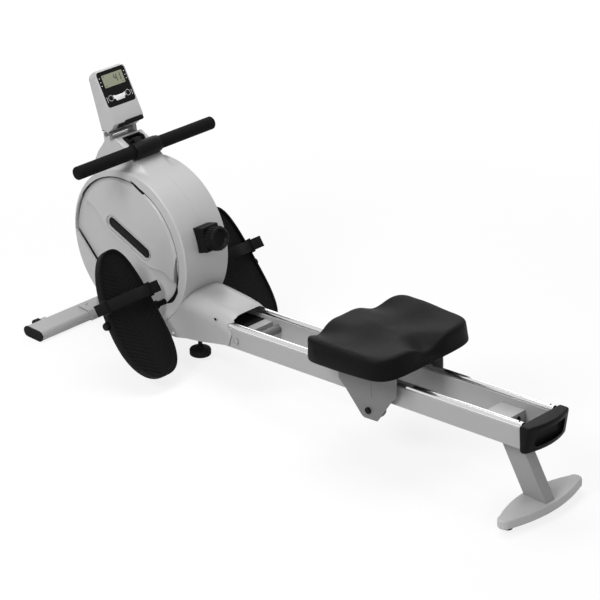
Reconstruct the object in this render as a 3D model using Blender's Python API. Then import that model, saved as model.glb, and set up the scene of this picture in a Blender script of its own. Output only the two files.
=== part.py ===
"""Magnetic rowing machine: flywheel drum at the front, sliding seat on two inclined rails.

Metres, +Z up. X runs from the drum to the rear foot, and -Y is the rower's left.
The rails, the seat and the rear fittings are drawn in a frame that is tilted with the rails.
"""

import math

import bmesh
import bpy

# Fits
FIT = 0.0003
RUN = 0.0005

# Front stabiliser, transport wheels and rear foot
STABILISER_X = -0.8124
STABILISER_LENGTH = 0.480
STABILISER_WIDTH = 0.077
STABILISER_HEIGHT = 0.029
STABILISER_WALL = 0.002
CAP_OVERHANG = 0.001
CAP_THICKNESS = 0.004
CAP_PLUG = 0.020
WHEEL_RADIUS = 0.0115
WHEEL_WIDTH = 0.020
WHEEL_Y = 0.186
WHEEL_PIN_RADIUS = 0.003
WHEEL_PIN_OVERHANG = 0.008
WHEEL_LUG_LENGTH = 0.025
FOOT_FRONT_X = 0.7545
FOOT_REAR_X = 0.8435
FOOT_HALF_LENGTH = 0.136
FOOT_FRONT_SWEEP = 0.029
FOOT_REAR_SWEEP = 0.0225
FOOT_TOP = 0.0405
PAD_HEIGHT = 0.0145
PAD_RADIUS = 0.0125
PAD_X = 0.796
PAD_Y = 0.116

# Drum
DRUM_X = -0.583
DRUM_Z = 0.299
DRUM_RADIUS = 0.2227
DRUM_HALF_WIDTH = 0.080
DRUM_WALL = 0.003
DRUM_SIDE_WALL = 0.006
DRUM_EDGE_RADIUS = 0.007
DRUM_STEPS = 52
COVER_X = -0.592
COVER_Z = 0.287
COVER_RADIUS = 0.203
COVER_CHORD = 0.1449
COVER_CHORD_ANGLE = math.radians(226)
COVER_THICKNESS = 0.0027
COVER_LEDGE = 0.010
BADGE_START = (-0.655, 0.355)
BADGE_END = (-0.518, 0.303)
BADGE_RADIUS = 0.0145

# Flywheel, strap spool and brake, all turning on one axle
FLYWHEEL_RADIUS = 0.135
FLYWHEEL_WIDTH = 0.022
FLYWHEEL_Y = -0.036
AXLE_RADIUS = 0.006
SPOOL_FLANGE_RADIUS = 0.045
SPOOL_WOUND_RADIUS = 0.0355
STRAP_WIDTH = 0.025
STRAP_THICKNESS = 0.0016
ARM_PIVOT_RADIUS = 0.168
ARM_PIVOT_ANGLE = math.radians(78)
ARM_GAP = 0.004
ARM_END_ANGLE = math.radians(14)

# Main frame
SPINE_WIDTH = 0.050
SPINE_HEIGHT = 0.034
SPINE_FRONT = (-0.783, 0.0460)
SPINE_KNEE = (-0.700, 0.0905)
SPINE_REAR = (-0.200, 0.150)
UPRIGHT_LEFT_Y = -0.063
UPRIGHT_RIGHT_Y = 0.059
UPRIGHT_THICKNESS = 0.006
UPRIGHT_FRONT_X = -0.613
UPRIGHT_REAR_X = -0.553
UPRIGHT_TOP = 0.500
POST_FRONT_X = -0.605
POST_REAR_X = -0.575
POST_TOP = 0.526
SLEEVE_FRONT = -0.826
SLEEVE_HALF_WIDTH = 0.062
SLEEVE_THICKNESS = 0.004
SLEEVE_BOLT = (-0.8165, 0.040)

# Levelling foot
LEVEL_X = -0.394
LEVEL_RADIUS = 0.0252
LEVEL_THICKNESS = 0.0105
LEVEL_LIFT = 0.0120
LEVEL_STEM_RADIUS = 0.006

# Neck, handle and console
NECK_HALF_WIDTH = 0.050
BAR_X = -0.593
BAR_Z = 0.5677
BAR_HALF_LENGTH = 0.250
BAR_TUBE_RADIUS = 0.0125
BAR_TUBE_WALL = 0.0015
GRIP_RADIUS = 0.0183
CLAMP_RADIUS = 0.02375
CLAMP_HALF_LENGTH = 0.0465
GUIDE_X = -0.634
GUIDE_Z = 0.578
GUIDE_ROLLER_RADIUS = 0.006
GUIDE_ROLLER_HALF = 0.024
GUIDE_HALF_WIDTH = 0.030
GUIDE_FRONT = 0.018
GUIDE_REAR = 0.014
HINGE_X = -0.694
HINGE_Z = 0.593
HINGE_PIN_RADIUS = 0.004
HINGE_EAR_RADIUS = 0.012
HINGE_EAR_INNER = 0.0375
CONSOLE_LEAN = math.radians(30)
CONSOLE_HALF_WIDTH = 0.0555
CONSOLE_FRONT = 0.052
CONSOLE_TOP = 0.168
FACE_WIDTH = 0.100
FACE_LENGTH = 0.100
FACE_CENTRE = 0.1110
FACE_THICKNESS = 0.0018
BUTTON_RADIUS = 0.0055
BUTTON_Y = 0.031
BUTTON_HEIGHT = 0.085

# Resistance knob
KNOB_ANGLE = math.radians(18)
KNOB_BOSS_HEIGHT = 0.0145
KNOB_BASE_HEIGHT = 0.070
KNOB_BASE_WIDTH = 0.062
KNOB_BASE_DEPTH = 0.036
KNOB_BASE_RAISE = 0.002
KNOB_RADIUS = 0.027
KNOB_DEPTH = 0.032
KNOB_DISH_RADIUS = 0.017

# Pedals
PEDAL_X = -0.461
PEDAL_Z = 0.1728
PEDAL_Y = 0.1945
PEDAL_LEAN = math.radians(36.3)
PEDAL_HALF_LENGTH = 0.1854
PEDAL_HALF_WIDTH = 0.0822
PEDAL_HEEL_SPREAD = 0.163
PEDAL_ROUNDNESS = 2.42
PEDAL_CURL = 0.021
PEDAL_BACK = -0.0034
PEDAL_FLOOR = 0.0105
PEDAL_RIM = 0.0182
PEDAL_RIM_WIDTH = 0.006
PEDAL_SKIN = 0.004
PEDAL_BAR_RADIUS = 0.008
PEDAL_BAR_HALF = 0.287
PEDAL_HUB_RADIUS = 0.0125
PEDAL_HUB_OUTER = 0.0835
PEDAL_HUB_INNER = 0.0995
PEDAL_STRAP_ALONG = 0.0455
PEDAL_STRAP_WIDTH = 0.032
PEDAL_STRAP_THICKNESS = 0.0025
PEDAL_STRAP_LEVEL = 0.0304
PEDAL_STRAP_CROWN = 0.050
PEDAL_STRAP_INNER_END = 0.1105
PEDAL_STRAP_OUTER_END = 0.1185
PEDAL_EAR_OUTER = 0.0800
PEDAL_EAR_THICKNESS = 0.0040

# Rails and beams, in the tilted frame: s along, t up from the rails' centre line
PITCH = math.radians(4.234)
RAIL_START_X = -0.194
RAIL_START_Z = 0.1839
RAIL_REAR = 0.9835
RAIL_FRONT = -0.060
RAIL_RADIUS = 0.0105
RAIL_WALL = 0.0015
RAIL_Y = 0.0600
BEAM_FRONT = -0.100
BEAM_INNER_Y = 0.047
BEAM_OUTER_Y = 0.073
BEAM_TOP = -0.001
BEAM_BOTTOM = -0.056
BEAM_WALL = 0.002
CROSS_TUBE_S = 0.052
CROSS_TUBE_RADIUS = 0.0125
BOLT_S = 0.015
BOLT_T = -0.031
BOLT_RADIUS = 0.005

# Lower fairing
FAIRING_HALF_WIDTH = 0.078
FAIRING_CROWN_RADIUS = 0.048
FAIRING_WALL = 0.003
FAIRING_REAR_START = -0.230
FAIRING_STATIONS = (
    (-0.600, 0.050, -0.600, 0.2245),
    (-0.500, 0.080, -0.500, 0.2245),
    (-0.407, 0.086, -0.400, 0.2245),
    (-0.366, 0.097, -0.350, 0.2245),
    (-0.310, 0.107, -0.300, 0.2225),
    (-0.265, 0.118, -0.255, 0.2190),
    (-0.235, 0.125, -0.222, 0.2140),
    (-0.212, 0.130, -0.197, 0.2060),
    (-0.204, 0.132, -0.186, 0.1975),
)

# Rear fittings, in the tilted frame
BRACKET_FRONT = 0.827
BRACKET_REAR = 0.902
BRACKET_PLATE_REAR = 0.950
BRACKET_TOP = -0.020
BRACKET_WALL = 0.003
END_CAP_HALF_WIDTH = 0.080
END_CAP_SIDE = 1.016
END_CAP_REAR = 1.033
END_CAP_RAKE = 0.015
END_CAP_TOP = 0.0095
END_CAP_BOTTOM = -0.065
LEG_LOW_X = 0.7865
LEG_LOW_Z = 0.060
LEG_LEAN = math.radians(32)
LEG_DEPTH = 0.060
LEG_WIDTH = 0.035
LEG_WALL = 0.002

# Seat and carriage, in the tilted frame
CARRIAGE_S = 0.5010
CARRIAGE_HALF_LENGTH = 0.100
PLATE_Y = 0.087
PLATE_THICKNESS = 0.003
CARRIAGE_TOP = 0.052
ROLLER_RADIUS = 0.014
ROLLER_WIDTH = 0.018
ROLLER_SPREAD = 0.066
LOWER_ROLLER_RADIUS = 0.030
LOWER_ROLLER_WIDTH = 0.024
LOWER_AXLE_RADIUS = 0.005
SEAT_HALF_WIDTH = 0.1865
SEAT_TAPER = 0.0100
SEAT_FRONT = 0.334
SEAT_FRONT_SWEEP = 0.040
SEAT_REAR = 0.639
SEAT_REAR_FLARE = 0.006
SEAT_FRONT_SQUARENESS = 11
SEAT_REAR_SQUARENESS = 5.6
SEAT_RIM = 0.1165
SEAT_REAR_DROP = 0.006
SEAT_WELL_DEPTH = 0.019
SEAT_VALLEY_DEPTH = 0.023
SEAT_NOTCH_DEPTH = 0.026

ALONG_Y = (-math.pi / 2, 0, 0)
PLANES = {
    "xz": lambda a, b, depth: (a, depth, b),
    "yz": lambda a, b, depth: (depth, a, b),
    "xy": lambda a, b, depth: (a, b, depth),
}


def middle_shift():
    """Brings the middle of the machine's length to X = 0."""
    return -(wheel_x() - WHEEL_RADIUS + FOOT_REAR_X) / 2


def clear_scene():
    for obj in list(bpy.data.objects):
        bpy.data.objects.remove(obj)


def material(name, colour, roughness, metallic=0.0):
    made = bpy.data.materials.new(name)
    made.use_nodes = True
    shader = made.node_tree.nodes["Principled BSDF"]
    shader.inputs["Base Color"].default_value = (*colour, 1)
    shader.inputs["Roughness"].default_value = roughness
    shader.inputs["Metallic"].default_value = metallic
    made.diffuse_color = (*colour, 1)
    return made


def empty(name, parent=None, location=(0, 0, 0), rotation=(0, 0, 0)):
    made = bpy.data.objects.new(name, None)
    made.empty_display_size = 0.03
    bpy.context.scene.collection.objects.link(made)
    made.parent = parent
    made.location = location
    made.rotation_euler = rotation
    return made


def place(name, bm, look, parent, location=(0, 0, 0), rotation=(0, 0, 0)):
    """One named object from a finished shape."""
    bmesh.ops.recalc_face_normals(bm, faces=bm.faces)
    mesh = bpy.data.meshes.new(name)
    bm.to_mesh(mesh)
    bm.free()
    mesh.materials.append(look)
    mesh.shade_smooth()
    mesh.set_sharp_from_angle(angle=math.radians(35))
    made = bpy.data.objects.new(name, mesh)
    bpy.context.scene.collection.objects.link(made)
    made.parent = parent
    made.location = location
    made.rotation_euler = rotation
    return made


def helper(name, bm, parent, location=(0, 0, 0), rotation=(0, 0, 0)):
    """A shape that only cuts or joins, left out of the picture."""
    made = place(name, bm, bpy.data.materials["helper"], parent, location, rotation)
    made.hide_render = True
    made.display_type = "WIRE"
    return made


def combine(target, tool, operation):
    step = target.modifiers.new(tool.name, "BOOLEAN")
    step.operation = operation
    step.object = tool
    step.solver = "EXACT"


def cut(target, tool):
    combine(target, tool, "DIFFERENCE")


def join(target, tool):
    combine(target, tool, "UNION")


def bevel(target, width, segments=2, angle=40):
    step = target.modifiers.new("edges", "BEVEL")
    step.width = width
    step.segments = segments
    step.limit_method = "ANGLE"
    step.angle_limit = math.radians(angle)


def arc(radius, start, sweep, count, centre=(0, 0)):
    """Points along an arc, both ends included."""
    angles = [start + sweep * i / count for i in range(count + 1)]
    return [(centre[0] + radius * math.cos(a), centre[1] + radius * math.sin(a)) for a in angles]


def circle(radius, centre, count):
    return arc(radius, 0, 2 * math.pi, count, centre)[:-1]


def stadium(width, height, centre=(0, 0), count=7):
    radius = height / 2
    reach = width / 2 - radius
    right = arc(radius, -math.pi / 2, math.pi, count, (centre[0] + reach, centre[1]))
    left = arc(radius, math.pi / 2, math.pi, count, (centre[0] - reach, centre[1]))
    return right + left


def slot_between(start, end, radius, count=8):
    """A round-ended slot from one point to another."""
    turn = math.atan2(end[1] - start[1], end[0] - start[0])
    return arc(radius, turn - math.pi / 2, math.pi, count, end) + arc(
        radius, turn + math.pi / 2, math.pi, count, start
    )


def rounded(width, height, radius, centre=(0, 0), count=3):
    """A rectangle with round corners."""
    x = width / 2 - radius
    y = height / 2 - radius
    corners = ((x, y, 0), (-x, y, 0.5), (-x, -y, 1), (x, -y, 1.5))
    points = []
    for a, b, turn in corners:
        points += arc(radius, turn * math.pi, math.pi / 2, count, (centre[0] + a, centre[1] + b))
    return points


def prism(outline, low, high, plane):
    """An outline drawn in one plane and extruded between two depths."""
    bm = bmesh.new()
    face = bm.faces.new([bm.verts.new(PLANES[plane](a, b, low)) for a, b in outline])
    grown = bmesh.ops.extrude_face_region(bm, geom=[face])["geom"]
    moved = [v for v in grown if isinstance(v, bmesh.types.BMVert)]
    bmesh.ops.translate(bm, verts=moved, vec=PLANES[plane](0, 0, high - low))
    return bm


def block(x, y, z):
    """A box between the low and high values of each axis."""
    return prism([(x[0], z[0]), (x[1], z[0]), (x[1], z[1]), (x[0], z[1])], y[0], y[1], "xz")


def turned(profile, count):
    """A solid turned about local Z from a closed section of (radius, height) points."""
    bm = bmesh.new()
    points = [bm.verts.new((r, 0, h)) for r, h in profile]
    edges = []
    for a, b in zip(points, points[1:] + points[:1]):
        if a.co.x > 0 or b.co.x > 0:
            edges.append(bm.edges.new((a, b)))
    bmesh.ops.spin(bm, geom=points + edges, axis=(0, 0, 1), angle=2 * math.pi, steps=count)
    bmesh.ops.remove_doubles(bm, verts=bm.verts, dist=1e-6)
    return bm


def rod(radius, low, high, count=20):
    return turned([(0, low), (radius, low), (radius, high), (0, high)], count)


def ring(outer, inner, low, high, count=20):
    return turned([(inner, low), (outer, low), (outer, high), (inner, high)], count)


def strip(path, thickness, low, high, plane):
    """A thin band: a path in one plane, thickened about itself and extruded."""
    near = []
    far = []
    for i, point in enumerate(path):
        before = path[max(i - 1, 0)]
        after = path[min(i + 1, len(path) - 1)]
        along = (after[0] - before[0], after[1] - before[1])
        length = math.hypot(*along)
        side = (-along[1] / length * thickness / 2, along[0] / length * thickness / 2)
        near.append((point[0] + side[0], point[1] + side[1]))
        far.append((point[0] - side[0], point[1] - side[1]))
    return prism(near + far[::-1], low, high, plane)


def rail_point(s, t):
    """A point of the tilted frame as (x, z) of the machine."""
    x = RAIL_START_X + s * math.cos(PITCH) - t * math.sin(PITCH)
    z = RAIL_START_Z + s * math.sin(PITCH) + t * math.cos(PITCH)
    return x, z


def front_stabiliser(frame, looks):
    outline = stadium(STABILISER_WIDTH, STABILISER_HEIGHT, (STABILISER_X, stabiliser_z()))
    half = STABILISER_LENGTH / 2
    tube = place("front_stabiliser", prism(outline, -half, half, "xz"), looks["paint"], frame)
    inside = stadium(
        STABILISER_WIDTH - 2 * STABILISER_WALL,
        STABILISER_HEIGHT - 2 * STABILISER_WALL,
        (STABILISER_X, stabiliser_z()),
    )
    cut(tube, helper("stabiliser_bore", prism(inside, -half - 0.01, half + 0.01, "xz"), frame))
    for side, name in ((-1, "left"), (1, "right")):
        inner = side * (WHEEL_Y - WHEEL_WIDTH / 2 - RUN)
        lug_end = inner - side * WHEEL_LUG_LENGTH
        lug = block(
            (wheel_x() - 0.006, STABILISER_X - STABILISER_WIDTH / 2 + 0.0015),
            sorted((inner, lug_end)),
            (wheel_z() - 0.006, wheel_z() + 0.005),
        )
        join(tube, helper(f"wheel_lug_{name}", lug, frame))
        pin_end = side * (WHEEL_Y + WHEEL_WIDTH / 2 + WHEEL_PIN_OVERHANG)
        pin = rod(WHEEL_PIN_RADIUS, *sorted((inner - side * 0.010, pin_end)), 12)
        where = (wheel_x(), 0, wheel_z())
        join(tube, helper(f"wheel_pin_{name}", pin, frame, where, ALONG_Y))


def stabiliser_z():
    return STABILISER_HEIGHT / 2 + CAP_OVERHANG


def wheel_x():
    return STABILISER_X - STABILISER_WIDTH / 2 - WHEEL_RADIUS - 0.0010


def wheel_z():
    return WHEEL_RADIUS + 0.0002


def stabiliser_caps(frame, looks):
    for side, name in ((-1, "left"), (1, "right")):
        start = side * (STABILISER_LENGTH / 2 + FIT)
        end = start + side * CAP_THICKNESS
        outline = stadium(
            STABILISER_WIDTH + 2 * CAP_OVERHANG,
            STABILISER_HEIGHT + 2 * CAP_OVERHANG,
            (STABILISER_X, stabiliser_z()),
        )
        cap = place(
            f"stabiliser_cap_{name}",
            prism(outline, *sorted((start, end)), "xz"),
            looks["black"],
            frame,
        )
        inside = 2 * (STABILISER_WALL + FIT)
        plug = stadium(
            STABILISER_WIDTH - inside, STABILISER_HEIGHT - inside, (STABILISER_X, stabiliser_z())
        )
        ends = sorted((start + side * 0.002, start - side * CAP_PLUG))
        join(cap, helper(f"cap_plug_{name}", prism(plug, *ends, "xz"), frame))


def transport_wheels(frame, looks):
    bore = WHEEL_PIN_RADIUS + RUN
    half = WHEEL_WIDTH / 2
    edge = 0.0015
    section = [
        (bore, -half),
        (WHEEL_RADIUS - edge, -half),
        (WHEEL_RADIUS, -half + edge),
        (WHEEL_RADIUS, half - edge),
        (WHEEL_RADIUS - edge, half),
        (bore, half),
    ]
    for side, name in ((-1, "left"), (1, "right")):
        place(
            f"transport_wheel_{name}",
            turned(section, 16),
            looks["black"],
            frame,
            (wheel_x(), side * WHEEL_Y, wheel_z()),
            ALONG_Y,
        )


def beam_between(start, end, height):
    """Corners of a bar of this height along a line, as a side outline."""
    turn = math.atan2(end[1] - start[1], end[0] - start[0])
    side = (-math.sin(turn) * height / 2, math.cos(turn) * height / 2)
    return [
        (start[0] - side[0], start[1] - side[1]),
        (end[0] - side[0], end[1] - side[1]),
        (end[0] + side[0], end[1] + side[1]),
        (start[0] + side[0], start[1] + side[1]),
    ]


def spine_outline(height):
    """Side outline of the bent tube from the stabiliser to the beams."""
    first = beam_between(SPINE_FRONT, SPINE_KNEE, height)
    second = beam_between(SPINE_KNEE, SPINE_REAR, height)
    knee_low = ((first[1][0] + second[0][0]) / 2, (first[1][1] + second[0][1]) / 2)
    knee_high = ((first[2][0] + second[3][0]) / 2, (first[2][1] + second[3][1]) / 2)
    return [first[0], knee_low, second[1], second[2], knee_high, first[3]]


def stabiliser_sleeve():
    """Side outline of the sleeve over the stabiliser's top and rear side."""
    inner = STABILISER_HEIGHT / 2 + FIT
    outer = inner + SLEEVE_THICKNESS
    centre = (STABILISER_X + (STABILISER_WIDTH - STABILISER_HEIGHT) / 2, stabiliser_z())
    sweep = math.radians(125)
    outside = arc(outer, math.pi / 2, -sweep, 8, centre)
    inside = arc(inner, math.pi / 2 - sweep, sweep, 8, centre)
    front = [(SLEEVE_FRONT, stabiliser_z() + inner), (SLEEVE_FRONT, stabiliser_z() + outer)]
    return front + outside + inside


def arm_pivot():
    angle = ARM_PIVOT_ANGLE
    return DRUM_X + ARM_PIVOT_RADIUS * math.cos(angle), DRUM_Z + ARM_PIVOT_RADIUS * math.sin(angle)


def main_frame(frame, rails, looks):
    half = SPINE_WIDTH / 2
    body = place(
        "main_frame", prism(spine_outline(SPINE_HEIGHT), -half, half, "xz"), looks["paint"], frame
    )
    wide = SLEEVE_HALF_WIDTH
    join(body, helper("frame_sleeve", prism(stabiliser_sleeve(), -wide, wide, "xz"), frame))
    ends = (SPINE_FRONT[0] - 0.005, SPINE_FRONT[0] + 0.018)
    low = stabiliser_z() + STABILISER_HEIGHT / 2 + 0.0015
    riser = block(ends, (-half, half), (low, SPINE_FRONT[1] + 0.014))
    join(body, helper("frame_riser", riser, frame))
    sleeve_top = stabiliser_z() + STABILISER_HEIGHT / 2 + FIT + SLEEVE_THICKNESS
    for side, name in ((-1, "left"), (1, "right")):
        section = [(0, -0.002), (0.005, -0.002), (0.005, 0.001), (0.003, 0.0028), (0, 0.0033)]
        dome = turned(section, 12)
        where = (SLEEVE_BOLT[0], side * SLEEVE_BOLT[1], sleeve_top)
        join(body, helper(f"frame_sleeve_bolt_{name}", dome, frame, where))
    for y, name in ((UPRIGHT_LEFT_Y, "left"), (UPRIGHT_RIGHT_Y, "right")):
        edges = (y - UPRIGHT_THICKNESS / 2, y + UPRIGHT_THICKNESS / 2)
        plate = block((UPRIGHT_FRONT_X, UPRIGHT_REAR_X), edges, (0.124, UPRIGHT_TOP))
        join(body, helper(f"frame_upright_{name}", plate, frame))
    across = (UPRIGHT_LEFT_Y, UPRIGHT_RIGHT_Y)
    floor = block((UPRIGHT_FRONT_X, UPRIGHT_REAR_X), across, (0.110, 0.130))
    join(body, helper("frame_floor", floor, frame))
    bridge = block((POST_FRONT_X, UPRIGHT_REAR_X), across, (0.492, UPRIGHT_TOP))
    join(body, helper("frame_bridge", bridge, frame))
    post = block((POST_FRONT_X, POST_REAR_X), (-0.020, 0.020), (0.496, POST_TOP))
    join(body, helper("frame_post", post, frame))
    bracket = block((PEDAL_X - 0.020, PEDAL_X + 0.020), (-0.030, 0.030), (0.118, PEDAL_Z + 0.018))
    join(body, helper("frame_pedal_bracket", bracket, frame))
    arm = arm_pivot()
    edges = (UPRIGHT_LEFT_Y - 0.003, UPRIGHT_LEFT_Y + 0.003)
    tab = block((UPRIGHT_REAR_X - 0.010, arm[0] + 0.012), edges, (arm[1] - 0.012, arm[1] + 0.012))
    join(body, helper("frame_arm_tab", tab, frame))
    post = rod(0.004, UPRIGHT_LEFT_Y, FLYWHEEL_Y + FLYWHEEL_WIDTH / 2 + 0.004, 14)
    join(body, helper("frame_arm_post", post, frame, (arm[0], 0, arm[1]), ALONG_Y))
    inside = BEAM_INNER_Y - FIT
    tongue = block((BEAM_FRONT - 0.030, 0.032), (-inside, inside), (-0.050, -0.012))
    join(body, helper("frame_tongue", tongue, rails))
    axle = rod(AXLE_RADIUS + FIT, -0.090, 0.090, 20)
    cut(body, helper("frame_axle_hole", axle, frame, (DRUM_X, 0, DRUM_Z), ALONG_Y))
    bar = rod(PEDAL_BAR_RADIUS + FIT, -0.050, 0.050, 20)
    cut(body, helper("frame_pedal_bar_hole", bar, frame, (PEDAL_X, 0, PEDAL_Z), ALONG_Y))
    bolt = rod(BOLT_RADIUS + FIT, -0.070, 0.070, 14)
    cut(body, helper("frame_bolt_hole", bolt, rails, (BOLT_S, 0, BOLT_T), ALONG_Y))
    stem = rod(LEVEL_STEM_RADIUS + RUN, 0.050, 0.180, 14)
    cut(body, helper("frame_stem_hole", stem, frame, (LEVEL_X, 0, 0)))


def cover_outline(radius, chord, count=38):
    """A circle cut off by a chord at its lower front."""
    opening = math.acos(chord / radius)
    start = COVER_CHORD_ANGLE + opening
    return arc(radius, start, 2 * (math.pi - opening), count, (COVER_X, COVER_Z))


def vent_outlines():
    """The two sickle vents: one above the side cover, one at its lower rear edge."""
    upper = [
        (-0.5730, 0.5015),
        (-0.5560, 0.4985),
        (-0.5380, 0.4905),
        (-0.5210, 0.4800),
        (-0.5250, 0.4770),
        (-0.5410, 0.4852),
        (-0.5580, 0.4940),
    ]
    lower = [
        (-0.4040, 0.3250),
        (-0.4075, 0.2850),
        (-0.4110, 0.2400),
        (-0.4250, 0.2050),
        (-0.4540, 0.1690),
        (-0.4200, 0.1930),
        (-0.4020, 0.2200),
        (-0.3985, 0.2350),
        (-0.4035, 0.2700),
    ]
    return upper, lower


def drum_shells(frame, knob_axis, looks):
    outer = DRUM_HALF_WIDTH
    edge = DRUM_EDGE_RADIUS
    corner = arc(edge, 0, math.pi / 2, 2, (DRUM_RADIUS - edge, outer - edge))
    section = [(DRUM_RADIUS, FIT)] + corner + [
        (0, outer),
        (0, outer - DRUM_SIDE_WALL),
        (DRUM_RADIUS - DRUM_WALL, outer - DRUM_SIDE_WALL),
        (DRUM_RADIUS - DRUM_WALL, FIT),
    ]
    wide = SPINE_WIDTH / 2 + RUN
    spine = prism(spine_outline(SPINE_HEIGHT + 2 * RUN), -wide, wide, "xz")
    low = (0.060, PEDAL_Z)
    bracket = block((PEDAL_X - 0.021, PEDAL_X + 0.021), (-0.031, 0.031), low)
    strap = block((-0.655, POST_FRONT_X), (-0.032, 0.032), (0.46, 0.56))
    post = block((POST_FRONT_X - RUN, POST_REAR_X + RUN), (-0.0205, 0.0205), (0.46, 0.56))
    gaps = [
        helper("drum_spine_gap", spine, frame),
        helper("drum_pedal_bracket_gap", bracket, frame),
        helper("drum_strap_gap", strap, frame),
        helper("drum_post_gap", post, frame),
    ]
    for side, name in ((-1, "left"), (1, "right")):
        shell = place(
            f"drum_shell_{name}",
            turned([(r, side * h) for r, h in section], DRUM_STEPS),
            looks["paint"],
            frame,
            (DRUM_X, 0, DRUM_Z),
            ALONG_Y,
        )
        halves = sorted((side * FIT, side * KNOB_BASE_WIDTH / 2))
        boss = prism(knob_base_outline(halves), -0.0035, KNOB_BOSS_HEIGHT, "xy")
        join(shell, helper(f"drum_knob_boss_{name}", boss, knob_axis))
        face = sorted((side * (outer + 0.01), side * (outer - COVER_THICKNESS - FIT)))
        seat = prism(cover_outline(COVER_RADIUS, COVER_CHORD), *face, "xz")
        cut(shell, helper(f"drum_cover_seat_{name}", seat, frame))
        through = sorted((side * (outer + 0.01), side * (outer - 0.02)))
        inside = cover_outline(COVER_RADIUS - COVER_LEDGE, COVER_CHORD - COVER_LEDGE)
        cut(shell, helper(f"drum_opening_{name}", prism(inside, *through, "xz"), frame))
        for part, vent in zip(("upper", "lower"), vent_outlines()):
            cut(shell, helper(f"drum_{part}_vent_{name}", prism(vent, *through, "xz"), frame))
        for gap in gaps:
            cut(shell, gap)


def side_covers(frame, looks):
    outer = DRUM_HALF_WIDTH
    badge = slot_between(BADGE_START, BADGE_END, BADGE_RADIUS, 6)
    for side, name in ((-1, "left"), (1, "right")):
        face = sorted((side * outer, side * (outer - COVER_THICKNESS)))
        outline = cover_outline(COVER_RADIUS - FIT, COVER_CHORD - FIT)
        cover = place(f"side_cover_{name}", prism(outline, *face, "xz"), looks["paint"], frame)
        through = sorted((side * (outer + 0.01), side * (outer - 0.01)))
        cut(cover, helper(f"cover_badge_slot_{name}", prism(badge, *through, "xz"), frame))
        vent = vent_outlines()[1]
        cut(cover, helper(f"cover_vent_{name}", prism(vent, *through, "xz"), frame))
        bar = rod(PEDAL_BAR_RADIUS + 0.001, *through, 20)
        cut(cover, helper(f"cover_bar_hole_{name}", bar, frame, (PEDAL_X, 0, PEDAL_Z), ALONG_Y))
        insert_face = sorted((side * (outer + 0.0008), side * (outer - COVER_THICKNESS)))
        insert = slot_between(BADGE_START, BADGE_END, BADGE_RADIUS - FIT, 6)
        place(f"badge_insert_{name}", prism(insert, *insert_face, "xz"), looks["black"], frame)


def flywheel(frame, looks):
    half = FLYWHEEL_WIDTH / 2
    bore = AXLE_RADIUS + RUN
    web = 0.004
    section = [
        (bore, -half - 0.003),
        (0.020, -half - 0.003),
        (0.020, -web),
        (FLYWHEEL_RADIUS - 0.030, -web),
        (FLYWHEEL_RADIUS - 0.028, -half),
        (FLYWHEEL_RADIUS, -half),
        (FLYWHEEL_RADIUS, half),
        (FLYWHEEL_RADIUS - 0.028, half),
        (FLYWHEEL_RADIUS - 0.030, web),
        (0.020, web),
        (0.020, half + 0.003),
        (bore, half + 0.003),
    ]
    where = (DRUM_X, FLYWHEEL_Y, DRUM_Z)
    place("flywheel", turned(section, 28), looks["iron"], frame, where, ALONG_Y)


def flywheel_axle(frame, looks):
    left = UPRIGHT_LEFT_Y - UPRIGHT_THICKNESS / 2
    right = UPRIGHT_RIGHT_Y + UPRIGHT_THICKNESS / 2
    section = [
        (0, left - 0.007),
        (0.010, left - 0.007),
        (0.010, left - FIT),
        (AXLE_RADIUS, left - FIT),
        (AXLE_RADIUS, right + 0.006),
        (0, right + 0.006),
    ]
    place("flywheel_axle", turned(section, 14), looks["steel"], frame, (DRUM_X, 0, DRUM_Z), ALONG_Y)


def strap_spool(frame, looks):
    bore = AXLE_RADIUS + RUN
    inner = STRAP_WIDTH / 2 + 0.0005
    outer = inner + 0.002
    section = [
        (bore, -outer),
        (SPOOL_FLANGE_RADIUS, -outer),
        (SPOOL_FLANGE_RADIUS, -inner),
        (SPOOL_WOUND_RADIUS, -inner),
        (SPOOL_WOUND_RADIUS, inner),
        (SPOOL_FLANGE_RADIUS, inner),
        (SPOOL_FLANGE_RADIUS, outer),
        (0.014, outer),
        (0.014, 0.024),
        (bore, 0.024),
    ]
    place("strap_spool", turned(section, 20), looks["black"], frame, (DRUM_X, 0, DRUM_Z), ALONG_Y)


def recoil_spring(frame, looks):
    """A flat spiral between the spool's hub and the right upright."""
    turns = 4
    steps = 13
    inner = 0.0149
    outer = 0.0460
    count = turns * steps
    path = []
    for i in range(count + 1):
        radius = inner + (outer - inner) * i / count
        angle = 2 * math.pi * i / steps
        path.append((DRUM_X + radius * math.cos(angle), DRUM_Z + radius * math.sin(angle)))
    side = UPRIGHT_RIGHT_Y - UPRIGHT_THICKNESS / 2 - FIT
    place("recoil_spring", strip(path, 0.0012, 0.026, side, "xz"), looks["steel"], frame)


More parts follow.
